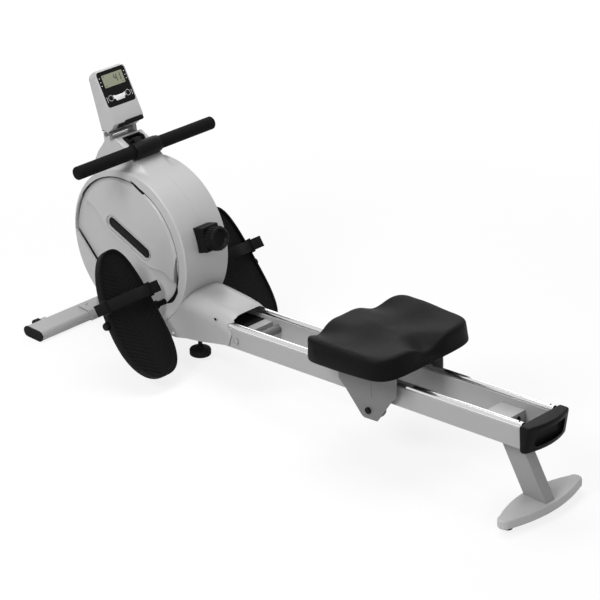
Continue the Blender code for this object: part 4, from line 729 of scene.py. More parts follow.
def surface(name, tint, roughness, drift, grain, depth, **kind):
    """Paint or moulded plastic: its colour drifts a little and its skin has a fine grain."""
    coat = Coating(name, **kind)
    fine = coat.surface(tint, drift, roughness, roughness * 0.35, grain)
    return coat.finished(fine["Colour"], fine["Roughness"], fine["Height"], 0.35, depth)


def celled(name, tint, roughness, cells, depth, crease_tint, **kind):
    """Foam, seat skin or cast metal: rounded cells with darker creases."""
    coat = Coating(name, **kind)
    fine = coat.surface(tint, 0.15, roughness, roughness * 0.2, 1500)
    grain = coat.group(cell_grain, Cell_scale=cells)
    plain, crease, mixed = coat.mix(grain["Crease"])
    coat.links.new(fine["Colour"], plain)
    crease.default_value = (*crease_tint, 1)
    return coat.finished(mixed, fine["Roughness"], grain["Height"], 0.5, depth)


def metal(name, tint, roughness, lines, depth):
    """Bare or plated metal with fine drawn lines."""
    coat = Coating(name, metallic=1.0)
    drawn = coat.group(drawn_lines, Roughness=roughness, Line_depth=lines)
    fine = coat.surface(tint, 0.05, grain=300)
    return coat.finished(fine["Colour"], drawn["Roughness"], drawn["Height"], 0.1, depth)


def woven(name, tint):
    """Webbing: a plain weave on the strap's own map."""
    coat = Coating(name, specular=0.15)
    coat.inputs["Sheen Weight"].default_value = 0.03
    coat.inputs["Sheen Roughness"].default_value = 0.5
    chart = coat.nodes.new("ShaderNodeUVMap")
    chart.uv_map = "strap"
    weave = coat.group(plain_weave, chart.outputs[0], Threads=3600)
    fine = coat.surface(tint, 0.25, 0.85, 0.1, 2500)
    valley, thread, mixed = coat.mix(weave["Height"])
    valley.default_value = (*(0.45 * c for c in tint), 1)
    coat.links.new(fine["Colour"], thread)
    return coat.finished(mixed, fine["Roughness"], weave["Height"], 0.6, 0.0004)


INK = (0.014, 0.014, 0.012)
CREASE = (0.003, 0.003, 0.003)
MAKERS = {
    "shell": lambda c: surface("Light grey moulded shell", c.shell, 0.36, 0.05, 1400, 0.00008),
    "paint": lambda c: surface("Light grey powder coat", c.paint, 0.34, 0.04, 700, 0.00015),
    "leg": lambda c: surface("Grey powder coat", c.leg, 0.38, 0.04, 700, 0.00015),
    "fairing": lambda c: surface("Grey moulded fairing", c.fairing, 0.36, 0.05, 1400, 0.00008),
    "foot": lambda c: surface("Pale powder coat", c.foot, 0.38, 0.04, 700, 0.00015),
    "plate": lambda c: surface("Dark grey powder coat", c.plate, 0.36, 0.05, 700, 0.00015),
    # The black finish dresses real black parts and also serves as painted shade: the fills in the vents and
    # the cover's seam, the guide roller and the lower axle's end.
    "black": lambda c: surface("Black moulded plastic and painted shade", c.black, 0.42, 0.20, 1800, 0.00012, specular=0.09),
    "grip": lambda c: surface("Black textured plastic", c.black, 0.50, 0.20, 900, 0.0003, specular=0.10),
    "gloss": lambda c: surface("Black gloss panel", (0.004,) * 3, 0.16, 0.2, 300, 0.00001, specular=0.12),
    # The black rubber also lies as a sheet of painted shadow under the fairing's lip.
    "rubber": lambda c: surface("Black rubber and painted shadow", c.black, 0.70, 0.20, 1200, 0.0003, specular=0.2),
    "nylon": lambda c: surface("Grey nylon", (0.09,) * 3, 0.45, 0.10, 900, 0.0001),
    # The dark grey shade finish dresses the tilt pin and serves as painted shade on the display's hinge
    # strip, the cross tube and the carriage's fold lines.
    "shade": lambda c: surface("Dark grey plastic and painted shade", (0.13, 0.13, 0.133), 0.45, 0.08, 1500, 0.0001),
    "badge": lambda c: surface("Black badge insert", (0.006,) * 3, 0.30, 0.25, 500, 0.0004, specular=0.08),
    "window": lambda c: surface("Display window", c.glass, 0.22, 0.05, 400, 0.00001, specular=0.2),
    "digit": lambda c: surface("Display digits", INK, 0.4, 0.1, 400, 0.00001),
    "print": lambda c: surface("White print", (0.78, 0.78, 0.77), 0.5, 0.03, 900, 0.00002),
    "foam": lambda c: celled("Black foam grip", c.foam, 0.72, 900, 0.0004, CREASE, specular=0.10),
    "skin": lambda c: celled("Black seat skin", c.skin, 0.46, 650, 0.0002, CREASE, specular=0.08),
    "iron": lambda c: celled("Cast iron", (0.16, 0.16, 0.165), 0.5, 500, 0.0003, (0.09,) * 3, metallic=1.0),
    "chrome": lambda c: metal("Chrome tube", (0.86, 0.86, 0.865), 0.11, 0.06, 0.00002),
    "steel": lambda c: metal("Zinc plated steel", (0.62, 0.62, 0.63), 0.22, 0.12, 0.00005),
    "webbing": lambda c: woven("Black webbing", c.webbing),
}
FINISHES = {}


def finish(look):
    """One of the finishes, made once from the scene's colours."""
    if look not in FINISHES:
        FINISHES[look] = MAKERS[look](bpy.context.scene.rower_colours)
    return FINISHES[look]


# ---------------------------------------------------------------- drum


SHELL_EDGE = 0.0040
SHELL_SIDE_WALL = 0.006
SHELL_RIM_WALL = 0.003
SHELL_SEAM = 0.0001
CUT_OVER = 0.01
CUT_DEPTH = 0.02

# The openings of the shells round the parts of the frame, as their reaches in X, Y and Z
OPENINGS = {
    "bracket_gap": ((-0.4663, -0.4243), (-0.031, 0.031), (0.06, 0.1728)),
    "strap_gap": ((-0.6393, -0.5893), (-0.032, 0.032), (0.46, 0.56)),
    "post_gap": ((-0.5898, -0.5588), (-0.0205, 0.0205), (0.46, 0.56)),
}
SPINE_OPENING = ((-0.6843, 0.0710), (-0.1843, 0.1305), (-0.1843, 0.1695), (-0.6843, 0.1100))
SPINE_OPENING_HALF = 0.0265

# The side cover: a circle cut off by a chord, and the smaller circle at which its bevelled ring starts
COVER = (-0.5795, 0.2915)
COVER_RADIUS = 0.2066
COVER_CHORD = 0.1456
CHORD_ANGLE = math.radians(226)
COVER_GAP = 0.0003
COVER_SHEET = 0.0012
COVER_SEAM = 0.0022
RING = (-0.5768, 0.2998)
RING_RADIUS = 0.1862
RING_DROP = 0.0080
RING_STEPS = 96

# The upper edge of the step, and how far the slope under it has fallen at shares of its width
STEP_LINE = (
    (-0.7371, 0.3895),
    (-0.7164, 0.3841),
    (-0.7022, 0.3766),
    (-0.6881, 0.3670),
    (-0.6771, 0.3543),
    (-0.6607, 0.3336),
    (-0.6438, 0.3232),
    (-0.6040, 0.3080),
    (-0.5674, 0.2944),
    (-0.5408, 0.2830),
    (-0.5001, 0.2701),
    (-0.4757, 0.2663),
    (-0.4430, 0.2708),
    (-0.4188, 0.2648),
    (-0.3970, 0.2534),
)
STEP_FALL = ((0.0, 0.0), (0.02, 0.22), (0.12, 0.42), (0.30, 0.66), (0.55, 0.86), (0.80, 0.97), (1.0, 1.0))

UPPER_VENT = (
    (-0.5573, 0.5015),
    (-0.5403, 0.4985),
    (-0.5223, 0.4905),
    (-0.5053, 0.4800),
    (-0.5107, 0.4742),
    (-0.5270, 0.4824),
    (-0.5437, 0.4914),
)
LOWER_VENT = (
    (-0.3850, 0.3280),
    (-0.3918, 0.2850),
    (-0.3953, 0.2400),
    (-0.4093, 0.2050),
    (-0.4383, 0.1690),
    (-0.4003, 0.1900),
    (-0.3815, 0.2180),
    (-0.3775, 0.2340),
    (-0.3815, 0.2700),
)
VENT_BACK = 0.0160

BADGE = ((-0.6330, 0.3526), (-0.5040, 0.3036))
BADGE_RADIUS = 0.0160
BADGE_FIT = 0.0002
BADGE_DEPTH = 0.0040
BADGE_SHEET = 0.0030
SURROUND_WIDTH = 0.0080
SURROUND_DEPTH = 0.0032
BEAD_RADIUS = 0.0017


def cover_outline(gap=0.0):
    opening = math.acos((COVER_CHORD + gap) / (COVER_RADIUS + gap))
    return arc(COVER_RADIUS + gap, CHORD_ANGLE + opening, 2 * (math.pi - opening), 120, COVER)


def side_cut(name, outline, side, depth=CUT_DEPTH):
    """A cutter that enters the drum's side face to a depth."""
    return solid(name, prism(outline, *span(side, DRUM_SIDE + CUT_OVER, DRUM_SIDE - depth)))


def drum_shell(side, name):
    corner = arc(SHELL_EDGE, 0, math.pi / 2, 7, (DRUM_RADIUS - SHELL_EDGE, DRUM_SIDE - SHELL_EDGE))
    section = [(DRUM_RADIUS, SHELL_SEAM), *corner, (0, DRUM_SIDE), (0, DRUM_SIDE - SHELL_SIDE_WALL)]
    section.append((DRUM_RADIUS - SHELL_RIM_WALL, DRUM_SIDE - SHELL_SIDE_WALL))
    section.append((DRUM_RADIUS - SHELL_RIM_WALL, SHELL_SEAM))
    around = Matrix.Translation((DRUM[0], 0, DRUM[1])) @ ALONG_Y
    shell = solid(f"drum_{name}_shell", turned([(r, side * h) for r, h in section], 168), around)
    tools = [
        side_cut("cover_gap", cover_outline(COVER_GAP), side),
        side_cut("upper_vent", closed_curve(UPPER_VENT), side),
        side_cut("lower_vent", closed_curve(LOWER_VENT), side),
    ]
    tools += [solid(label, block(*reaches)) for label, reaches in OPENINGS.items()]
    tools.append(solid("spine_gap", prism(SPINE_OPENING, -SPINE_OPENING_HALF, SPINE_OPENING_HALF)))
    carve(shell, tools)
    soften(shell, 0.0007, angle=55)
    place(shell, "shell", "frame", (f"drum_shell_{name}",), 30, True)


def step_ways(line):
    """At each spot of the step's edge, the way down the slope."""
    ways = []
    for i in range(len(line)):
        before = Vector(line[max(i - 1, 0)])
        after = Vector(line[min(i + 1, len(line) - 1)])
        along = (after - before).normalized()
        ways.append((along[1], -along[0]))
    return ways


def upper_panel(side, line, angles, recess, slope):
    """The raised panel: flat inside, a bevelled ring round it and the slope under the step."""
    bm = bmesh.new()

    def row(spots, depth):
        return [bm.verts.new((x, side * (DRUM_SIDE - depth), z)) for x, z in spots]

    top = row(line + ring_spots(RING, RING_RADIUS, angles), 0)
    bm.faces.new(top)
    edge = top[len(line) :]
    ways = step_ways(line)
    rows = []
    for share, fall in STEP_FALL:
        spots = [(p[0] + w[0] * slope * share, p[1] + w[1] * slope * share) for p, w in zip(line, ways)]
        rows.append(row(spots, recess * fall))
    rim = ring_spots(COVER, COVER_RADIUS - COVER_SEAM, angles)
    ring_low = row(rim, RING_DROP)
    wall_low = row(rim, recess)
    for a, b in (*zip(rows, rows[1:]), (edge, ring_low), (ring_low, wall_low)):
        for i in range(len(a) - 1):
            bm.faces.new((a[i], a[i + 1], b[i + 1], b[i]))
    for start, end in ((0, -1), (-1, 0)):
        corner = top[0 if start == 0 else len(line) - 1]
        bm.faces.new([corner] + [r[start] for r in rows[1:]] + [wall_low[end], ring_low[end], edge[end]])
    bm.faces.new(rows[-1] + wall_low)
    return bm


def side_cover(side, name):
    """A raised upper panel with a stepped lower edge over a recessed lower panel."""
    recess = sizes().recess
    low = DRUM_SIDE - recess
    line = open_curve(STEP_LINE, 5)
    start = math.atan2(line[-1][1] - COVER[1], line[-1][0] - COVER[0])
    end = math.atan2(line[0][1] - COVER[1], line[0][0] - COVER[0])
    angles = [start + (end - start) * i / RING_STEPS for i in range(RING_STEPS + 1)]
    base = solid(f"cover_{name}_lower_panel", prism(cover_outline(), *span(side, low, low - COVER_SHEET)))
    panel = solid(
        f"cover_{name}_upper_panel", upper_panel(side, line, angles, recess, sizes().recess_slope)
    )
    surround = slot(*BADGE, BADGE_RADIUS + SURROUND_WIDTH)
    carve(
        panel,
        [
            side_cut("badge_surround", surround, side, SURROUND_DEPTH),
            side_cut("badge_slot", slot(*BADGE, BADGE_RADIUS), side),
        ],
    )
    vent = closed_curve(LOWER_VENT)
    pedal_axis = Matrix.Translation((PEDAL[0], 0, PEDAL[2])) @ ALONG_Y
    bar_hole = solid("bar_hole", rod(0.009, -0.1, 0.1, 32), pedal_axis)
    carve(base, [side_cut("cover_vent", vent, side), bar_hole])
    carve(panel, [side_cut("cover_vent", vent, side)])
    place(base, "shell", "frame", (f"side_cover_{name}",), 12)
    place(panel, "shell", "frame", (), 14)
    painted_cover_shade(side, name, angles, recess)
    badge(side, name)


def painted_cover_shade(side, name, angles, recess):
    """Painted shade: black fills for the shade in the two vents and in the seam round the cover."""
    # Black prisms fill both vents: painted shade for the dark inside of the drum.
    for i, (outline, depth) in enumerate(((UPPER_VENT, 0.0010), (LOWER_VENT, 0.0010 + recess))):
        reach = span(side, DRUM_SIDE - depth, DRUM_SIDE - VENT_BACK)
        vent = solid(f"vent_{name}_{i}", prism(closed_curve(outline), *reach))
        place(vent, "black", "frame", (), 25)
    # A black ring sits in the cover's seam: painted shade for the shadow in the gap.
    sparse = angles[::2]
    outer = ring_spots(COVER, COVER_RADIUS + COVER_GAP - 0.0002, sparse)
    inner = ring_spots(COVER, COVER_RADIUS - COVER_SEAM + 0.0002, sparse[::-1])
    reach = span(side, DRUM_SIDE - 0.0004, DRUM_SIDE - 0.0016)
    place(solid(f"seam_{name}", prism(outer + inner, *reach)), "black", "frame", (), 25)


def badge(side, name):
    """The bare black insert in its slot, with a raised bead round it."""
    rim = slot(*BADGE, BADGE_RADIUS + 0.0019, 16)
    line = closed_line([(x, side * (DRUM_SIDE - 0.0022), z) for x, z in rim])
    bead_sizes = {"Radius": BEAD_RADIUS, "Sides": 12}
    bead = grown(f"badge_rim_{name}", lines_mesh("badge_rim_line", [line]), "ridges", "shell", bead_sizes)
    place(bead, "shell", "frame", (), 40)
    reach = span(side, DRUM_SIDE - BADGE_DEPTH, DRUM_SIDE - BADGE_DEPTH - BADGE_SHEET)
    insert = solid(f"badge_{name}", prism(slot(*BADGE, BADGE_RADIUS - BADGE_FIT), *reach))
    soften(insert, 0.0006, angle=50)
    place(insert, "badge", "frame", (f"badge_insert_{name}",), 40)


class ROWER_OT_drum(bpy.types.Operator):
    """Rebuilds the drum's two shells with round edges and a seam, and both side covers with their step"""

    bl_idname = "rower.drum"
    bl_label = "Drum and side covers"

    def execute(self, context):
        for side, name in SIDES:
            drum_shell(side, name)
            side_cover(side, name)
        return {"FINISHED"}


# ---------------------------------------------------------------- neck and display


# Places on the display are (across, up) in its own frame, and the face lies at this depth
FACE = 0.0524
WINDOW = (0, 0.1320)
KEY_RINGS = (-0.031, 0.031)
KEY_LEVEL = 0.0850
STROKE = 0.0026
SEGMENTS = {"1": "bc", "4": "fgbc"}
KEY_PLATE = (
    (-0.0215, 0.0905),
    (-0.0130, 0.0880),
    (0.0130, 0.0880),
    (0.0215, 0.0905),
    (0.0205, 0.0800),
    (0.0165, 0.0790),
    (0.0150, 0.0735),
    (-0.0150, 0.0735),
    (-0.0165, 0.0790),
    (-0.0205, 0.0800),
)
CATCH = (
    (-0.0165, 0.0035),
    (-0.0165, 0.0050),
    (-0.0130, 0.0165),
    (0.0455, 0.0165),
    (0.0500, 0.0140),
    (0.0500, 0.0060),
    (0.0455, 0.0035),
)


def digit_shapes(character, across, up, wide=0.0085, tall=0.0205):
    """Bars of a seven-segment digit in the display's own plane."""
    half = tall / 2
    bars = {
        "a": (0, half, wide, STROKE),
        "b": (wide / 2, half / 2, STROKE, half),
        "c": (wide / 2, -half / 2, STROKE, half),
        "d": (0, -half, wide, STROKE),
        "e": (-wide / 2, -half / 2, STROKE, half),
        "f": (-wide / 2, half / 2, STROKE, half),
        "g": (0, 0, wide, STROKE),
    }
    for name in SEGMENTS[character]:
        x, y, w, h = bars[name]
        trimmed = (max(w - STROKE * 0.4, STROKE), max(h - STROKE * 0.4, STROKE))
        yield rounded(*trimmed, STROKE * 0.3, (across + x, up + y), 2)


def display_plate(name, outline, low, high, look, width=0.0):
    obj = solid(name, prism(outline, low, high, "yz"), CONSOLE_FRAME)
    if width:
        soften(obj, width, angle=50)
    place(obj, look, "console", (), 40)


class ROWER_OT_display(bpy.types.Operator):
    """Finishes the tilting display: shell, black panel, window with digits, buttons and catch"""

    bl_idname = "rower.display"
    bl_label = "Display"

    def execute(self, context):
        dress("console_shell", "shell", "console", 0.0007, 2, 40)
        dress("console_face", "gloss", "console", 0.0005, 2, 40)
        back = FACE - 0.0002
        bezel = rounded(0.0780, 0.0400, 0.003, WINDOW)
        display_plate("display_bezel", bezel, back, FACE + 0.0005, "gloss", 0.0004)
        window = rounded(0.0735, 0.0355, 0.002, WINDOW)
        display_plate("display_window", window, back, FACE + 0.0007, "window")
        self.digits()
        self.marks()
        display_plate("display_key_plate", KEY_PLATE, back, FACE + 0.0005, "print", 0.0004)
        for side, name in SIDES:
            press = refined(f"button_{name}", 0.0006, 2, 40)
            place(press, "black", f"{name}_button", (f"button_{name}",))
        display_plate("display_catch", CATCH, 0.0360, 0.0545, "black", 0.0022)
        # A dark grey strip under the shell between the hinge's ears: painted shade for the neck in the
        # display's shadow.
        strip = rounded(0.0700, 0.0052, 0.0015, (-0.0180, -0.0041))
        display_plate("display_hinge_shade", strip, 0.0080, 0.0220, "shade", 0.0008)
        tongue = rounded(0.0220, 0.0095, 0.002, (-0.0270, 0.0075))
        display_plate("display_catch_tongue", tongue, 0.0360, 0.0530, "black", 0.0012)
        return {"FINISHED"}

    def digits(self):
        """A plain number and three small signs in the window."""
        shapes = []
        for character, across in (("4", 0.0085), ("1", 0.0215)):
            shapes += digit_shapes(character, across, 0.1335)
        for spot in ((-0.030, 0.1450), (-0.030, 0.1190), (0.029, 0.1190)):
            shapes.append(rounded(0.006, 0.0012, 0.0004, spot, 2))
        parts = [prism(shape, FACE + 0.0006, FACE + 0.0009, "yz") for shape in shapes]
        place(joined("display_digits", parts, CONSOLE_FRAME), "digit", "console")

    def marks(self):
        """Plain dashes beside the window and a ring round each key."""
        shapes = []
        for across in (-0.0445, 0.0445):
            for i in range(3):
                shapes.append(rounded(0.0032, 0.0018, 0.0006, (across, 0.1440 - 0.0105 * i), 2))
            shapes.append(rounded(0.0010, 0.0150, 0.0004, (across, 0.0830), 2))
        parts = [prism(shape, FACE - 0.0002, FACE + 0.0002, "yz") for shape in shapes]
        for across in KEY_RINGS:
            outer = circle(0.0082, 40, (across, KEY_LEVEL))
            parts.append(prism(outer, FACE - 0.0003, FACE + 0.00025, "yz"))
        marks = joined("display_marks", parts, CONSOLE_FRAME)
        wells = []
        for across in KEY_RINGS:
            inner = circle(0.0074, 40, (across, KEY_LEVEL))
            wells.append(solid("ring_hole", prism(inner, 0.045, 0.07, "yz"), CONSOLE_FRAME))
        carve(marks, wells)
        place(marks, "print", "console")


def drum_top(x):
    """Height of the drum's rim at a place along the machine."""
    return DRUM[1] + math.sqrt(DRUM_RADIUS**2 - (x - DRUM[0]) ** 2)


class ROWER_OT_neck(bpy.types.Operator):
    """Finishes the neck under the display, its hinge and the strap's outlet"""

    bl_idname = "rower.neck"
    bl_label = "Neck and strap outlet"

    half_width = 0.050
    deck = ((-0.7050, 0.560), (-0.6023, 0.571), (-0.5693, 0.544), (-0.5403, 0.5205))
    flare = 0.026

    def execute(self, context):
        dress("neck_cover", "shell", "frame", 0.0009, 2, 35)
        for side, name in SIDES:
            self.fillet(side, name)
        self.saddle()
        dress("tilt_pin", "shade", "frame", 0.0006, 2, 40)
        dress("strap_guide", "black", "frame", 0.0012, 2, 40)
        # The steel roller takes the black finish as painted shade for the dark inside of the strap guide.
        dress("guide_roller", "black", "guide", 0.0003, 2, 40)
        return {"FINISHED"}

    def deck_height(self, x):
        for a, b in zip(self.deck, self.deck[1:]):
            if a[0] <= x <= b[0]:
                height = a[1] + (b[1] - a[1]) * (x - a[0]) / (b[0] - a[0])
        return height

    def fillet(self, side, name):
        """The soft foot where a side wall of the neck runs into the drum."""
        front = -0.6980
        rear = -0.5640
        wall = self.half_width - 0.0005
        steps = 30
        rings = []
        for i in range(steps + 1):
            x = front + (rear - front) * i / steps
            drum = drum_top(x)
            radius = max(min(self.flare, 0.9 * (self.deck_height(x) - drum)), 0.0006)
            foot = self.half_width + radius
            curve = arc(radius, math.pi, math.pi / 2, 8, (foot, drum + radius + 0.0001))
            section = [(wall, drum + radius), *curve, (foot, drum - 0.0004), (wall, drum - 0.0004)]
            rings.append([(x, side * y, z) for y, z in section])
        place(solid(f"neck_fillet_{name}", loft(rings)), "shell", "frame", (), 50)

    def saddle(self):
        """The neck's front end, run out smoothly onto the drum."""
        start = -0.5690
        reach = 0.0690
        crest = 0.0218
        steps = 24
        rings = []
        for i in range(steps + 1):
            share = i / steps
            x = start + reach * share
            drum = drum_top(x)
            rise = crest * (1 - share) ** 2.5
            flare = min(self.flare, 0.9 * rise) + 0.003
            edge = self.half_width + flare
            top = []
            for j in range(2 * steps + 1):
                y = edge * (j / steps - 1)
                over = smooth_step(edge - abs(y), 0, flare + 0.012)
                top.append((x, y, drum + rise * over + 0.00015))
            rings.append(top + [(x, top[-1][1], drum - 0.0008), (x, top[0][1], drum - 0.0008)])
        place(solid("neck_saddle", loft(rings)), "shell", "frame", (), 60)


# ---------------------------------------------------------------- handle and straps


WEBBING_WIDTH = 0.025
WEBBING_THICKNESS = 0.0016
FOOT_STRAP_WIDTH = 0.032
FOOT_STRAP_THICKNESS = 0.0025


def band(name, path, across, ups, width, thickness):
    """A flat strap along a path, with a map that follows it, in metres."""
    bm = bmesh.new()
    chart = bm.loops.layers.uv.new("strap")
    x = width / 2
    y = thickness / 2
    edge = thickness * 0.35
    section = [(-x, -y + edge), (-x + edge, -y), (x - edge, -y), (x, -y + edge)]
    section += [(-a, -b) for a, b in section]
    loops = []
    travelled = [0.0]
    for a, b in zip(path, path[1:]):
        travelled.append(travelled[-1] + (b - a).length)
    for point, up in zip(path, ups):
        loops.append([bm.verts.new(point + across * a + up * b) for a, b in section])
    count = len(section)
    for i in range(len(loops) - 1):
        for j in range(count):
            k = (j + 1) % count
            face = bm.faces.new((loops[i][j], loops[i][k], loops[i + 1][k], loops[i + 1][j]))
            spots = ((j, i), (k, i), (k, i + 1), (j, i + 1))
            for loop, (c, r) in zip(face.loops, spots):
                loop[chart].uv = (section[c][0], travelled[r])
    bm.faces.new(loops[0][::-1])
    bm.faces.new(loops[-1])
    bmesh.ops.recalc_face_normals(bm, faces=bm.faces)
    return link(name, mesh_from(name, bm))


def frames_along(path, across):
    """The strap's upward way at each point of its path."""
    ups = []
    for i in range(len(path)):
        along = (path[min(i + 1, len(path) - 1)] - path[max(i - 1, 0)]).normalized()
        ups.append(along.cross(across).normalized())
    return ups


class ROWER_OT_handle(bpy.types.Operator):
    """Makes the pull handle's foam grips and clamp, and the webbing that pulls the flywheel round"""

    bl_idname = "rower.handle"
    bl_label = "Handle and pull strap"

    bore = 0.0128
    grip_radius = 0.0183
    grip_end = 0.250
    grip_round = 0.0045
    clamp_half = 0.0465
    clamp_radius = 0.0222
    clamp_belly = 0.02375

    def execute(self, context):
        around = Matrix.Translation((BAR[0], 0, BAR[1])) @ ALONG_Y
        for side, name in SIDES:
            profile = [(r, side * h) for r, h in self.grip_section()]
            grip = solid(f"foam_grip_{name}", turned(profile, 64), around)
            place(grip, "foam", "handle", (f"grip_{name}",), 40)
        clamp = solid("handle_clamp_finished", turned(self.clamp_section(), 64), around)
        soften(clamp, 0.0006, angle=25)
        place(clamp, "black", "handle", ("handle_clamp",), 40)
        set_finish(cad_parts["handlebar_tube"], finish("steel"))
        self.pull_strap()
        return {"FINISHED"}

    def grip_section(self):
        r = self.grip_radius
        turn = (r - self.grip_round, self.grip_end - self.grip_round)
        section = [(self.bore, 0.0468), (0.0172, 0.0468), (r, 0.0485)]
        section += [(r, 0.10), (r - 0.00005, 0.16), (r, 0.22)]
        section += arc(self.grip_round, 0, math.pi / 2, 6, turn)
        section += [(0.006, self.grip_end + 0.0002), (0.0, self.grip_end + 0.0002)]
        return section + [(0, 0.2443), (self.bore, 0.2443)]

    def clamp_section(self):
        h = self.clamp_half
        r = self.clamp_radius
        half = [(self.bore, h), (0.0205, h), (r, h - 0.0015), (r, h - 0.008), (self.clamp_belly, h - 0.0105)]
        return [(x, -y) for x, y in half] + half[::-1]

    def pull_strap(self):
        """The webbing from the spool over the guide roller to the clamp."""
        across = Vector((0, 1, 0))
        over = arc(0.0071, math.radians(176), math.radians(-100), 14, GUIDE_ROLLER)
        clamp_angle = math.radians(152)
        reach = self.clamp_radius + 0.00225
        end = (BAR[0] + reach * math.cos(clamp_angle), BAR[1] + reach * math.sin(clamp_angle))
        low = Vector(STRAP_START)
        rise = Vector(over[0]) - low
        points = [tuple(low + rise * (i / 8)) for i in range(8)] + over + [end]
        path = [Vector((x, 0, z)) for x, z in points]
        ups = frames_along(path, across)
        strap = band("pull_webbing", path, across, ups, WEBBING_WIDTH, WEBBING_THICKNESS)
        place(strap, "webbing", "frame", ("pull_strap",), 50)


